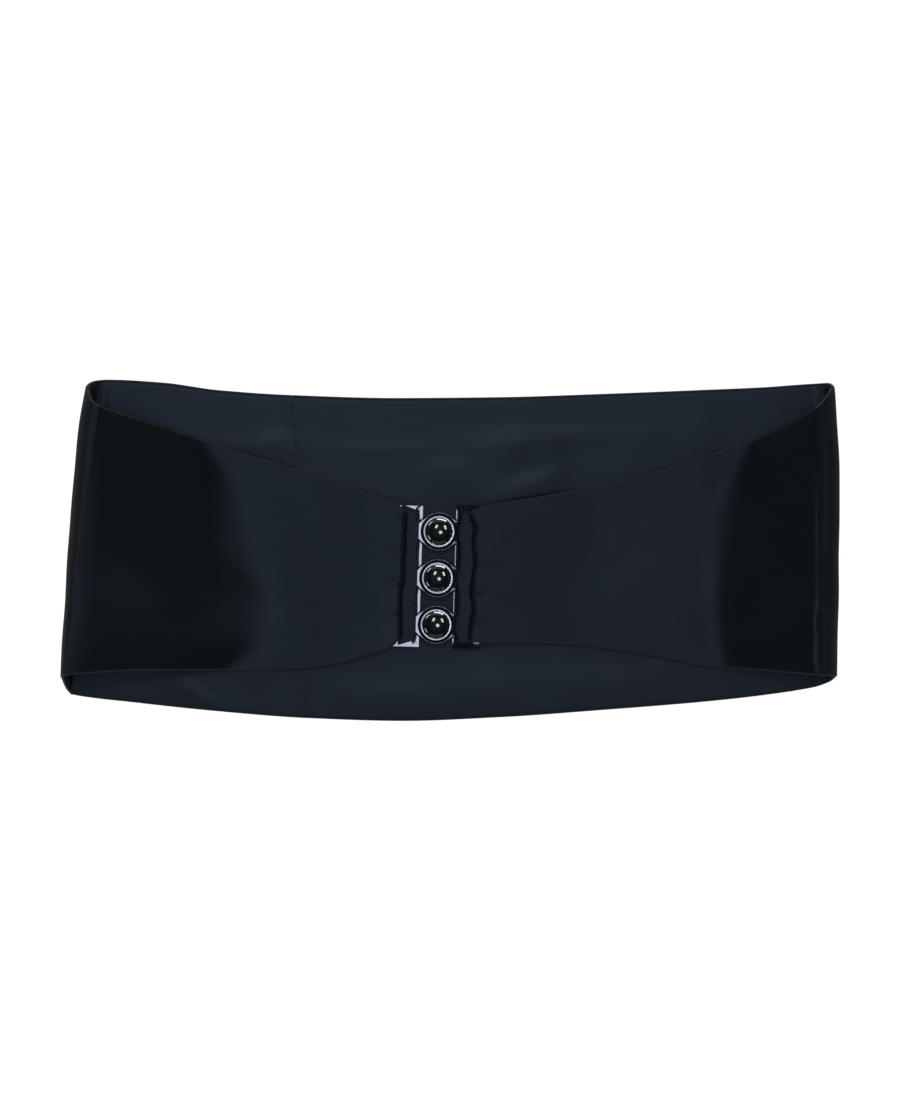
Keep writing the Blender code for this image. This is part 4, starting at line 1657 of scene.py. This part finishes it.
@dataclass
class Clasp:
    """The fastened clasp: two frames, three hooked settings and their stones."""

    ridges: tuple[float, float] = (0.0009, 0.00045)
    bar_fall: float = 0.17
    left_fall: float = 0.19
    arm_fall: float = 0.50
    arm_tips: tuple[tuple[float, float], ...] = ((0.0172, 0.0200), (0.0206, 0.0220))
    far_arms: tuple[tuple[float, float], ...] = ((0.0006, 0.0006), (0.0011, 0.0025))
    waist: float = 0.00070
    bulge: float = 0.00085
    dip_top: float = 0.0064
    dip_fall: float = 1.13
    dip_run: float = 0.00060
    dip_depth: float = 0.0010
    stone_pitch: float = 0.02225
    plate_radius: float = 0.0090
    plate_thick: float = 0.0014
    lug_half: float = 0.0037
    hook_thick: float = 0.0009
    hook_return: float = 0.0021
    groove_depth: float = 0.0005
    groove_outer: float = 0.0088
    lug_fall: float = 0.22
    lug_short: float = 0.0009
    rim_outer: float = 0.00745
    rim_inner: float = 0.00662
    rim_rise: float = 0.0014
    stone_radius: float = 0.00655
    dome_radius: float = 0.0094
    turn_steps: int = 72
    dome_steps: int = 16
    swell_steps: int = 8
    slot_corner: float = 0.0014
    slot_round: float = 0.0012
    arm_clear: float = 0.0004
    sunk: float = 0.0003
    bead_rise: float = 0.00003
    shoulder_share: float = 0.40
    girdle: float = 0.0002
    base_share: float = 0.96
    frame_soft: float = 0.00028
    plate_soft: float = 0.00022
    hook_soft: float = 0.00020
    soft_angle: float = 18.0
    edge_sharp: float = 30.0
    rim_sharp: float = 50.0
    dome_sharp: float = 60.0
    weld: float = 1e-7
    dip_reach: float = 0.001
    upper_part: float = 0.1
    origin: np.ndarray = field(default_factory=lambda: np.zeros(3))

    LEVELS = ("top", "middle", "bottom")

    def stone_places(self) -> list[float]:
        """The stones' places along the clasp, top first."""
        return [STONE_SHIFT + k * self.stone_pitch for k in (1, 0, -1)]

    def place(self, mesh: bpy.types.Mesh, shift: float = 0.0) -> bpy.types.Mesh:
        """Turn and move a mesh that is modelled about the clasp's middle.

        Args:
            mesh: the mesh, changed in place.
            shift: how far up the clasp it goes.

        Returns:
            The same mesh.
        """
        cos, sin = math.cos(CLASP_TILT), math.sin(CLASP_TILT)
        for vertex in mesh.vertices:
            x, y, z = vertex.co.x, vertex.co.y + shift, vertex.co.z
            vertex.co = (
                x * cos + y * sin + CLASP_X + self.origin[0],
                -x * sin + y * cos + CLASP_Y + self.origin[1],
                z,
            )
        return mesh

    def _slot_line(self, sign: int) -> list[tuple[float, float]]:
        """The slot's outline, its near side notched for the lugs and swelling between them.

        Args:
            sign: -1 for the left frame, 1 for the right.

        Returns:
            The outline's x and y.
        """
        half = CLASP_HEIGHT / 2 - BAR_WIDTH
        near, far = FRAME_NEAR + BAR_WIDTH - self.waist, FRAME_FAR - BAR_WIDTH
        notch = self.hook_thick - self.waist + PIECE_GAP
        reach = self.lug_half + PIECE_GAP
        upper, lower = (CLASP_HEIGHT / 2 - arm for arm in self.far_arms[sign > 0])
        upper_tip, lower_tip = (min(tip, far - self.arm_clear) for tip in self.arm_tips[sign > 0])
        corner, bend = near + self.slot_corner, half - self.slot_round
        line = [(corner, half), (upper_tip, upper), (far, upper)]
        line += [(far, -lower), (lower_tip, -lower), (corner, -half), (near, -bend)]
        stops = [-half]
        for y in reversed(self.stone_places()):
            stops += [y - reach, y + reach]
            line += self._swell(near, stops[-3], stops[-2])
            line += [(near - notch, y - reach), (near - notch, y + reach)]
        line += self._swell(near, stops[-1], bend)
        return [(sign * x, y) for x, y in line]

    def _swell(self, near: float, low: float, high: float) -> list[tuple[float, float]]:
        """A gentle outward curve of the bar's side between two heights.

        Args:
            near: the bar's side.
            low: the lower height.
            high: the upper height.

        Returns:
            The curve's x and y.
        """
        shares = np.linspace(0.0, 1.0, self.swell_steps + 1)
        return [
            (near + self.bulge * math.sin(math.pi * s), low + (high - low) * s) for s in shares
        ]

    def frame_mesh(self, side: Side) -> bpy.types.Mesh:
        """One half's frame, its top falling away from a narrow ridge.

        Args:
            side: which half.

        Returns:
            The mesh.
        """
        sign, half = side.value, CLASP_HEIGHT / 2
        border = [(FRAME_NEAR, half), (FRAME_FAR, half), (FRAME_FAR, -half), (FRAME_NEAR, -half)]
        outlines = [[(sign * x, y) for x, y in border], self._slot_line(sign)]
        base = BandShape.BAR_Z
        bm = bmesh.new()
        edges = []
        for outline in outlines:
            ring = [bm.verts.new((x, y, base)) for x, y in outline]
            for a, b in zip(ring, ring[1:] + ring[:1]):
                if (a.co - b.co).length > self.weld:
                    edges.append(bm.edges.new((a, b)))
        bmesh.ops.remove_doubles(bm, verts=bm.verts, dist=self.weld)
        bmesh.ops.triangle_fill(bm, edges=bm.edges[:], use_beauty=True)
        self._cut_dips(bm, sign)
        self._cut_ridges(bm, sign)
        grown = bmesh.ops.extrude_face_region(bm, geom=list(bm.faces))
        for item in grown["geom"]:
            if isinstance(item, bmesh.types.BMVert):
                x, y = abs(item.co.x), item.co.y
                item.co.z = base + BAR_THICK - self._fall(side, x, y) - self._dip(x, y)
        mesh = mesh_from_bmesh(bm, "frame", self.edge_sharp)
        return self._softened(mesh, self.frame_soft, 3)

    def _cut_ridges(self, bm: bmesh.types.BMesh, sign: int) -> None:
        """Cut the frame's face along the lines where its top changes its slope.

        Args:
            bm: the face, changed in place.
            sign: -1 for the left frame, 1 for the right.
        """
        half, ridge = CLASP_HEIGHT / 2, self.ridges[sign > 0]
        lines = [((sign * (FRAME_NEAR + ridge), 0, 0), (1, 0, 0))]
        lines += [((sign * (FRAME_NEAR + BAR_WIDTH + self.bulge), 0, 0), (1, 0, 0))]
        lines += [((0, up * (half - BAR_WIDTH), 0), (0, 1, 0)) for up in (1, -1)]
        if sign < 0:
            lines = lines[:2] + [((0, half - ridge, 0), (0, 1, 0))]
        for place, way in lines:
            geom = bm.verts[:] + bm.edges[:] + bm.faces[:]
            bmesh.ops.bisect_plane(bm, geom=geom, plane_co=place, plane_no=way)

    def _fall(self, side: Side, x: float, y: float) -> float:
        """How far a frame's top falls away from its highest level at a place.

        Args:
            side: which frame.
            x: distance from the clasp's middle line.
            y: height up the clasp.

        Returns:
            The fall in metres.
        """
        half, ridge = CLASP_HEIGHT / 2, self.ridges[side is Side.RIGHT]
        along = min(max(x - FRAME_NEAR - ridge, 0.0), BAR_WIDTH + self.bulge - ridge)
        if side is Side.LEFT:
            return self.left_fall * along + self.arm_fall * max(y - half + ridge, 0.0)
        return self.bar_fall * (along + max(abs(y) - half + BAR_WIDTH, 0.0))

    def _cut_dips(self, bm: bmesh.types.BMesh, sign: int) -> None:
        """Cut the frame's face along both edges of the slopes under the lugs.

        Args:
            bm: the face, changed in place.
            sign: -1 for the left frame, 1 for the right.
        """
        size = math.hypot(1.0, self.dip_fall)
        for stone in self.stone_places():
            for up in (1, -1):
                way = Vector((sign * self.dip_fall, up, 0.0)) / size
                for run in (0.0, self.dip_run):
                    place = Vector((sign * FRAME_NEAR, stone + up * self.dip_top, 0.0)) - way * run
                    near = [f for f in bm.faces if self._touches(f, stone, up)]
                    edges = list({edge for f in near for edge in f.edges})
                    verts = list({vert for f in near for vert in f.verts})
                    bmesh.ops.bisect_plane(bm, geom=verts + edges + near, plane_co=place, plane_no=way)

    def _touches(self, face: bmesh.types.BMFace, stone: float, up: int) -> bool:
        """Whether a face reaches into the part of the bar on one side of a stone.

        Args:
            face: a face of the frame.
            stone: the stone's place along the clasp.
            up: 1 above the stone, -1 below it.

        Returns:
            Whether it does.
        """
        low = min(vert.co.y * up for vert in face.verts)
        high = max(vert.co.y * up for vert in face.verts)
        return low < stone * up + self.dip_top + self.dip_reach and high > stone * up

    def _dip(self, x: float, y: float) -> float:
        """How far the bar's top lies lower at a place, where it passes under a lug.

        Args:
            x: distance from the clasp's middle line.
            y: height up the clasp.

        Returns:
            The dip in metres.
        """
        limit = self.dip_top - (min(x, FRAME_NEAR + BAR_WIDTH) - FRAME_NEAR) * self.dip_fall
        if x > FRAME_NEAR + BAR_WIDTH + self.bulge:
            return 0.0
        off = min(abs(y - stone) for stone in self.stone_places())
        inward = (limit - off) / math.hypot(1.0, self.dip_fall)
        return self.dip_depth * min(max(inward / self.dip_run, 0.0), 1.0)

    def _softened(self, mesh: bpy.types.Mesh, width: float, segments: int) -> bpy.types.Mesh:
        """The mesh with its hard edges rounded and its flat faces shaded flat.

        Args:
            mesh: the mesh.
            width: how wide the rounding is.
            segments: its steps.

        Returns:
            A new mesh.
        """
        mesh.shade_smooth()
        obj = in_scene("softened", mesh)
        bevel = obj.modifiers.new("soft_edges", "BEVEL")
        bevel.width = width
        bevel.segments = segments
        bevel.limit_method = "ANGLE"
        bevel.angle_limit = math.radians(self.soft_angle)
        bevel.harden_normals = True
        return applied(obj)

    def _plate_line(self) -> list[tuple[float, float]]:
        """The plate: a disc drawn out to a lug at each side.

        Returns:
            The outline's x and y.
        """
        tip = (FRAME_NEAR + BAR_WIDTH - self.lug_short, self.lug_half)
        far = math.hypot(*tip)
        meet = math.atan2(tip[1], tip[0]) + math.acos(self.plate_radius / far)
        quarter = [
            (self.plate_radius * math.cos(a), self.plate_radius * math.sin(a))
            for a in np.linspace(meet, math.pi / 2, self.turn_steps // 4)
        ]
        right = [tip] + quarter[:-1]
        top = right + [quarter[-1]] + [(-x, y) for x, y in reversed(right)]
        return top + [(-x, -y) for x, y in top]

    def _extruded(self, line: list, low: float, high: float, upright: bool) -> bpy.types.Mesh:
        """A solid from a closed line, drawn up in Z or, if upright, across in Y.

        Args:
            line: pairs of x and y, or of x and z if upright.
            low: where the solid starts.
            high: where it ends.
            upright: whether the line stands up.

        Returns:
            The mesh.
        """
        bm = bmesh.new()
        corners = [(a, low, b) if upright else (a, b, low) for a, b in line]
        face = bm.faces.new([bm.verts.new(corner) for corner in corners])
        grown = bmesh.ops.extrude_face_region(bm, geom=[face])
        move = Vector((0, high - low, 0)) if upright else Vector((0, 0, high - low))
        moved = [item for item in grown["geom"] if isinstance(item, bmesh.types.BMVert)]
        bmesh.ops.translate(bm, verts=moved, vec=move)
        return mesh_from_bmesh(bm, "extruded", self.edge_sharp)

    def _turned(self, profile: list[tuple[float, float]], sharp_at: float) -> bpy.types.Mesh:
        """A solid turned about Z from a profile of radius and height.

        Args:
            profile: its points, closed into a ring, or from a flat base up to the axis.
            sharp_at: edges that turn further than these degrees stay sharp.

        Returns:
            The mesh.
        """
        bm = bmesh.new()
        closed = profile[-1][0] > 0.0
        turns = np.linspace(0.0, 2 * math.pi, self.turn_steps, endpoint=False)
        rings = [
            [bm.verts.new((r * math.cos(a), r * math.sin(a), z)) for a in turns]
            for r, z in profile[: None if closed else -1]
        ]
        for ring, above in zip(rings, rings[1:] + rings[: int(closed)]):
            for j in range(len(turns)):
                k = (j + 1) % len(turns)
                bm.faces.new((ring[j], ring[k], above[k], above[j]))
        if not closed:
            bm.faces.new(rings[0][::-1])
            tip = bm.verts.new((0.0, 0.0, profile[-1][1]))
            for a, b in zip(rings[-1], rings[-1][1:] + rings[-1][:1]):
                bm.faces.new((a, b, tip))
        return mesh_from_bmesh(bm, "turned", sharp_at)

    def setting_mesh(self) -> bpy.types.Mesh:
        """Plate, edge bead, rim, hook and eye as one mesh.

        Returns:
            The mesh, about the clasp's middle.
        """
        plate_z = BandShape.BAR_Z + BAR_THICK + PIECE_GAP
        top = plate_z + self.plate_thick
        flat = top - self.groove_depth
        plate = self._lug_lowered(self._extruded(self._plate_line(), plate_z, flat, False), flat)
        rim = self._turned(self._rim_profile(top, flat), self.rim_sharp)
        parts = [self._softened(plate, self.plate_soft, 3), rim]
        for sign, line in ((-1, self._hook_line(plate_z)), (1, self._eye_line(plate_z))):
            mesh = self._extruded([(sign * x, z) for x, z in line], -self.lug_half, self.lug_half, True)
            parts.append(self._softened(mesh, self.hook_soft, 2))
        return self._joined(parts)

    def _lug_lowered(self, mesh: bpy.types.Mesh, top: float) -> bpy.types.Mesh:
        """The plate with the upper face of its right lug sloping down and away.

        Args:
            mesh: the plate, changed in place.
            top: the height of its upper face.

        Returns:
            The same mesh.
        """
        bm = bmesh.new()
        bm.from_mesh(mesh)
        geom = bm.verts[:] + bm.edges[:] + bm.faces[:]
        bmesh.ops.bisect_plane(bm, geom=geom, plane_co=(self.rim_outer, 0, 0), plane_no=(1, 0, 0))
        for vertex in bm.verts:
            if vertex.co.z > top - self.plate_thick * self.upper_part:
                vertex.co.z -= self.lug_fall * max(vertex.co.x - self.rim_outer, 0.0)
        bm.to_mesh(mesh)
        bm.free()
        return mesh

    def _rim_profile(self, top: float, flat: float) -> list[tuple[float, float]]:
        """The rim's section: a nearly flat crown, rounded shoulders and a cone at its foot.

        Args:
            top: the plate's height at the rim's foot.
            flat: the groove's floor.

        Returns:
            Pairs of radius and height.
        """
        middle = (self.rim_outer + self.rim_inner) / 2
        half = (self.rim_outer - self.rim_inner) / 2
        shoulder = half * self.shoulder_share
        crown = top + self.rim_rise
        arc = []
        for way, turns in ((1, np.linspace(0.0, 0.5, 5)), (-1, np.linspace(0.5, 1.0, 5))):
            for a in turns * math.pi:
                r = middle + way * (half - shoulder) + shoulder * math.cos(a)
                arc.append((r, crown - shoulder + shoulder * math.sin(a)))
        sunk = flat - self.sunk
        foot = [(self.groove_outer, sunk), (self.groove_outer, flat + self.bead_rise)]
        return foot + [(self.rim_outer, top)] + arc + [(self.rim_inner, sunk)]

    def _hook_line(self, plate_z: float) -> list[tuple[float, float]]:
        """The open hook: down past the near bar and a little way back under it.

        Args:
            plate_z: the height of the plate's underside.

        Returns:
            Pairs of x and z.
        """
        reach = FRAME_NEAR + BAR_WIDTH - self.lug_short
        under = BandShape.BAR_Z - PIECE_GAP
        bottom, top = under - self.hook_thick, plate_z + self.sunk
        leg, back = reach - self.hook_thick, reach - self.hook_return
        return [(reach, bottom), (reach, top), (leg, top), (leg, under), (back, under), (back, bottom)]

    def _eye_line(self, plate_z: float) -> list[tuple[float, float]]:
        """The closed eye: all the way round the near bar.

        Args:
            plate_z: the height of the plate's underside.

        Returns:
            Pairs of x and z.
        """
        *hook, _, _ = self._hook_line(plate_z)
        bottom, top, under = hook[0][1], hook[1][1], hook[3][1]
        inner = FRAME_NEAR - PIECE_GAP
        far = inner - self.hook_thick
        return hook + [(inner, under), (inner, top), (far, top), (far, bottom)]

    def _joined(self, parts: list[bpy.types.Mesh]) -> bpy.types.Mesh:
        """Several closed meshes as one, with their shading kept.

        Args:
            parts: the meshes.

        Returns:
            One mesh.
        """
        objects = [in_scene("part", part) for part in parts]
        with bpy.context.temp_override(active_object=objects[0], selected_editable_objects=objects):
            bpy.ops.object.join()
        mesh = objects[0].data
        bpy.data.objects.remove(objects[0], do_unlink=True)
        return mesh

    def stone_mesh(self, low: float, high: float) -> bpy.types.Mesh:
        """A black cabochon: a flat base, a short girdle and a cap of a sphere.

        Args:
            low: its lowest height.
            high: its highest.

        Returns:
            The mesh.
        """
        levels = [(self.stone_radius * self.base_share, low), (self.stone_radius, low + self.girdle)]
        widest = math.asin(self.stone_radius / self.dome_radius)
        for a in np.linspace(widest, 0.0, self.dome_steps, endpoint=False):
            drop = self.dome_radius * (1.0 - math.cos(a))
            levels.append((self.dome_radius * math.sin(a), high - drop))
        return self._turned(levels + [(0.0, high)], self.dome_sharp)

    def build(self, metal: bpy.types.Material, stone: bpy.types.Material) -> dict:
        """Make and dress every piece of the clasp.

        Args:
            metal: the material of frames and settings.
            stone: the stones' material.

        Returns:
            The pieces by the node they stand for.
        """
        meshes = {
            f"clasp_frame_{side.word}": (self.place(self.frame_mesh(side)), metal) for side in Side
        }
        for level, y in zip(self.LEVELS, self.stone_places()):
            low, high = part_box(f"stone_{level}")
            meshes[f"setting_{level}"] = (self.place(self.setting_mesh(), y), metal)
            meshes[f"stone_{level}"] = (self.place(self.stone_mesh(low.z, high.z), y), stone)
        made = {}
        for node, (mesh, material) in meshes.items():
            obj = add_piece(f"{node}_piece", mesh, material)
            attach(obj, BODY)
            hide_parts(node)
            made[node] = obj
        return made


class Lit(Enum):
    """What a lamp lights: everything, all cloth, one finish, or the shell of one side."""

    ALL = "all"
    CLOTH = "cloth"
    LINING = "lining"
    METAL = "metal"
    STONE = "stone"
    LEFT_SHELL = "shell_left"
    RIGHT_SHELL = "shell_right"


@dataclass(frozen=True)
class AreaLamp:
    """A soft lamp that is aimed at the table's middle or, if it is plumb, straight down."""

    name: str
    place: tuple[float, float, float]
    size: tuple[float, float]
    radiance: float
    lit: Lit
    colour: tuple[float, float, float] = (1.0, 1.0, 1.0)
    roll: float = 0.0
    shape: str = "RECTANGLE"
    plumb: bool = False

    def build(self, groups: dict[Lit, bpy.types.Collection]) -> bpy.types.Object:
        """Make the lamp, its power worked out from its size and radiance.

        Args:
            groups: the pieces that each kind of lamp lights.

        Returns:
            The lamp.
        """
        data = bpy.data.lights.new(self.name, "AREA")
        data.shape = self.shape
        data.size, data.size_y = self.size
        data.energy = self.radiance * math.pi * self.size[0] * self.size[1]
        data.color = self.colour
        obj = in_scene(self.name, data)
        obj.location = self.place
        way = Vector((0.0, 0.0, -1.0)) if self.plumb else -Vector(self.place)
        turn = Quaternion((0.0, 0.0, 1.0), math.radians(self.roll))
        obj.rotation_euler = (way.to_track_quat("-Z", "Y") @ turn).to_euler()
        obj.light_linking.receiver_collection = groups[self.lit]
        return obj


@dataclass
class Studio:
    """The pale table, the lamps and the camera straight above."""

    origin: np.ndarray
    floor_half: float = 6.0
    floor_drop: float = 0.0002
    surround: float = 0.008
    beyond: float = 0.82
    sensor: float = 24.0

    WHITE = (1.0, 1.0, 1.0)
    DUSK = (0.75, 0.82, 1.0)
    PALE_GREEN = (0.96, 1.0, 0.82)
    PALE_STRAW = (0.92, 0.94, 0.68)
    PALE_BLUE = (0.62, 0.80, 1.0)
    LAMPS = (
        AreaLamp("left_softbox", (-0.01, -0.02, 1.80), (0.72, 0.90), 1.06, Lit.LEFT_SHELL, plumb=True),
        AreaLamp("right_softbox", (0.00, -0.02, 1.80), (0.94, 0.90), 0.90, Lit.RIGHT_SHELL, plumb=True),
        AreaLamp("lining_softbox", (-0.05, -0.12, 1.80), (1.30, 1.10), 0.52, Lit.LINING, plumb=True),
        AreaLamp("lining_window", (-0.05, 0.64, 1.55), (0.50, 0.20), 6.2, Lit.LINING),
        AreaLamp("left_shade", (1.31, 0.0, 0.92), (1.8, 1.7), 0.17, Lit.LEFT_SHELL, PALE_STRAW),
        AreaLamp("right_shade", (-1.31, 0.0, 0.92), (1.8, 1.7), 0.14, Lit.RIGHT_SHELL, PALE_STRAW),
        AreaLamp("left_panel", (-1.23, 0.0, 1.03), (1.8, 2.24), 0.36, Lit.LEFT_SHELL, PALE_GREEN),
        AreaLamp("right_panel", (1.23, 0.0, 1.03), (1.8, 2.24), 0.16, Lit.RIGHT_SHELL, PALE_GREEN),
        AreaLamp("inner_left_panel", (-1.31, 0.0, 0.92), (1.8, 1.7), 0.26, Lit.LINING, PALE_GREEN),
        AreaLamp("inner_right_panel", (1.31, 0.0, 0.92), (1.8, 1.7), 0.26, Lit.LINING, PALE_GREEN),
        AreaLamp("far_panel", (0.0, 1.36, 0.84), (2.6, 1.4), 0.14, Lit.CLOTH, PALE_GREEN),
        AreaLamp("near_panel", (0.0, -1.36, 0.84), (2.6, 1.4), 0.11, Lit.CLOTH, PALE_GREEN),
        AreaLamp("low_left", (-1.90, 0.0, 0.62), (2.8, 0.60), 0.14, Lit.ALL),
        AreaLamp("low_right", (1.90, 0.0, 0.62), (2.8, 0.60), 0.12, Lit.ALL),
        AreaLamp("low_far", (0.0, 1.90, 0.70), (2.8, 0.80), 0.90, Lit.ALL),
        AreaLamp("low_near", (0.0, -1.90, 0.70), (2.8, 0.80), 0.60, Lit.ALL),
        AreaLamp("clasp_softbox", (-0.14, 0.0, 1.70), (0.80, 0.80), 0.80, Lit.METAL, plumb=True),
        AreaLamp("stone_fill", (0.0, 0.0, 1.90), (2.6, 2.6), 0.16, Lit.STONE, plumb=True),
        AreaLamp("left_window", (-0.36, 0.72, 1.22), (0.30, 0.52), 22.0, Lit.STONE, roll=-50),
        AreaLamp("right_window", (0.82, 0.56, 1.00), (0.28, 0.54), 22.0, Lit.STONE, roll=73),
        AreaLamp("front_lamp", (0.25, -0.12, 1.60), (0.56, 0.56), 20.0, Lit.STONE, PALE_BLUE, shape="DISK"),
        AreaLamp("far_strip", (0.35, 1.55, 0.36), (1.3, 0.20), 36.0, Lit.STONE),
        AreaLamp("far_left_strip", (-1.15, 1.10, 0.46), (0.7, 0.18), 14.0, Lit.STONE),
        AreaLamp("near_strip", (-1.30, -0.80, 0.52), (0.6, 0.18), 10.0, Lit.STONE),
    )

    def build(self) -> None:
        """Make everything round the object."""
        groups = self._groups()
        self._floor()
        self._world()
        for lamp in self.LAMPS:
            lamp.build(groups)
        self._camera()
        bpy.context.scene.view_settings.view_transform = "Standard"

    def _groups(self) -> dict[Lit, bpy.types.Collection]:
        """Collections of the pieces that each kind of lamp lights.

        Returns:
            The collections by what their lamps light.
        """
        groups = {lit: bpy.data.collections.new(f"lit_{lit.name.lower()}") for lit in Lit}
        for obj in bpy.context.scene.collection.objects:
            if obj.type != "MESH" or not obj.data.materials or not obj.data.materials[0]:
                continue
            finish = obj.data.materials[0].name
            found = [lit for lit in (Lit.METAL, Lit.STONE) if lit.value in finish] or [Lit.CLOTH]
            found += [Lit.LINING] if Lit.LINING.value in finish else []
            found += [lit for lit in (Lit.LEFT_SHELL, Lit.RIGHT_SHELL) if obj.name.startswith(lit.value)]
            for lit in [Lit.ALL] + found:
                groups[lit].objects.link(obj)
        return groups

    def _floor(self) -> None:
        """The table, a hair below the cloth."""
        half, z = self.floor_half, -self.floor_drop
        mesh = bpy.data.meshes.new("table_top")
        corners = [(-half, -half, z), (half, -half, z), (half, half, z), (-half, half, z)]
        mesh.from_pydata(corners, [], [(0, 1, 2, 3)])
        add_piece("table_top", mesh, FloorFinish().material())

    def _world(self) -> None:
        """A dim room that shows pale where the camera looks past the table."""
        world = bpy.data.worlds.new("dim_room")
        bpy.context.scene.world = world
        world.use_nodes = True
        tree = world.node_tree
        tree.nodes.clear()
        output = tree.nodes.new("ShaderNodeOutputWorld")
        mix = tree.nodes.new("ShaderNodeMixShader")
        path = tree.nodes.new("ShaderNodeLightPath")
        for k, (colour, strength) in enumerate(((self.DUSK, self.surround), (self.WHITE, self.beyond))):
            shade = tree.nodes.new("ShaderNodeBackground")
            shade.inputs["Color"].default_value = (*colour, 1.0)
            shade.inputs["Strength"].default_value = strength
            tree.links.new(shade.outputs[0], mix.inputs[k + 1])
        tree.links.new(path.outputs["Is Camera Ray"], mix.inputs["Fac"])
        tree.links.new(mix.outputs[0], output.inputs["Surface"])

    def _camera(self) -> None:
        """The camera straight above the picture's middle, with the photograph's frame."""
        data = bpy.data.cameras.new("camera_above")
        data.sensor_fit = "VERTICAL"
        data.sensor_height = self.sensor
        data.lens = self.sensor * CAMERA_DISTANCE / (PHOTO_HIGH * PIXEL)
        obj = in_scene("camera_above", data)
        obj.location = (self.origin[0], self.origin[1], CAMERA_DISTANCE)
        bpy.context.scene.camera = obj


def band_origin() -> np.ndarray:
    """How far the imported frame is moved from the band's own sizes, read off the middle stone.

    Returns:
        The move, with no height.
    """
    low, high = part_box("stone_middle")
    cos, sin = math.cos(CLASP_TILT), math.sin(CLASP_TILT)
    expected = (STONE_SHIFT * sin + CLASP_X, STONE_SHIFT * cos + CLASP_Y)
    return np.array([(low.x + high.x) / 2 - expected[0], (low.y + high.y) / 2 - expected[1], 0.0])


def declare_sheets(pieces: dict) -> None:
    """Log each cloth piece with the width, length and area of its cut.

    Args:
        pieces: each cloth piece and its cut's width, length and area, by node.
    """
    for node, (obj, (width, length, area)) in pieces.items():
        LOG.info("%s: cut %.3f by %.3f m, %.4f square metres", obj.name, width, length, area)


def main() -> None:
    """Build the cloth, the stitches, the clasp and the studio, in that order."""
    logging.basicConfig(level=logging.INFO, format="%(name)s: %(message)s")
    satin = SatinFinish(
        "midnight_satin", (0.0030, 0.0040, 0.0045), (0.0110, 0.0150, 0.0190), 0.36
    ).material()
    # The lining gets a weaker painted highlight along its edges.
    lining = SatinFinish(
        "midnight_lining", (0.0070, 0.0092, 0.0118), (0.0200, 0.0270, 0.0350), 0.42,
        ior=1.6, thread=0.0003, edge_gain=0.35,
    ).material()
    origin = band_origin()
    band = BandShape(origin=origin)
    cloth = Cloth(band)
    pieces = cloth.build(satin, lining)
    tree = StitchTree("stitch_row", ThreadFinish().material())
    stitches = Stitching(band, tree).build(*cloth.lining_span())
    clasp = Clasp(origin=origin).build(MetalFinish().material(), StoneFinish().material())
    for name in (*pieces, *stitches, *clasp):
        LOG.info("made %s", name)
    Studio(origin).build()
    declare_sheets(pieces)


if __name__ == "__main__":
    main()
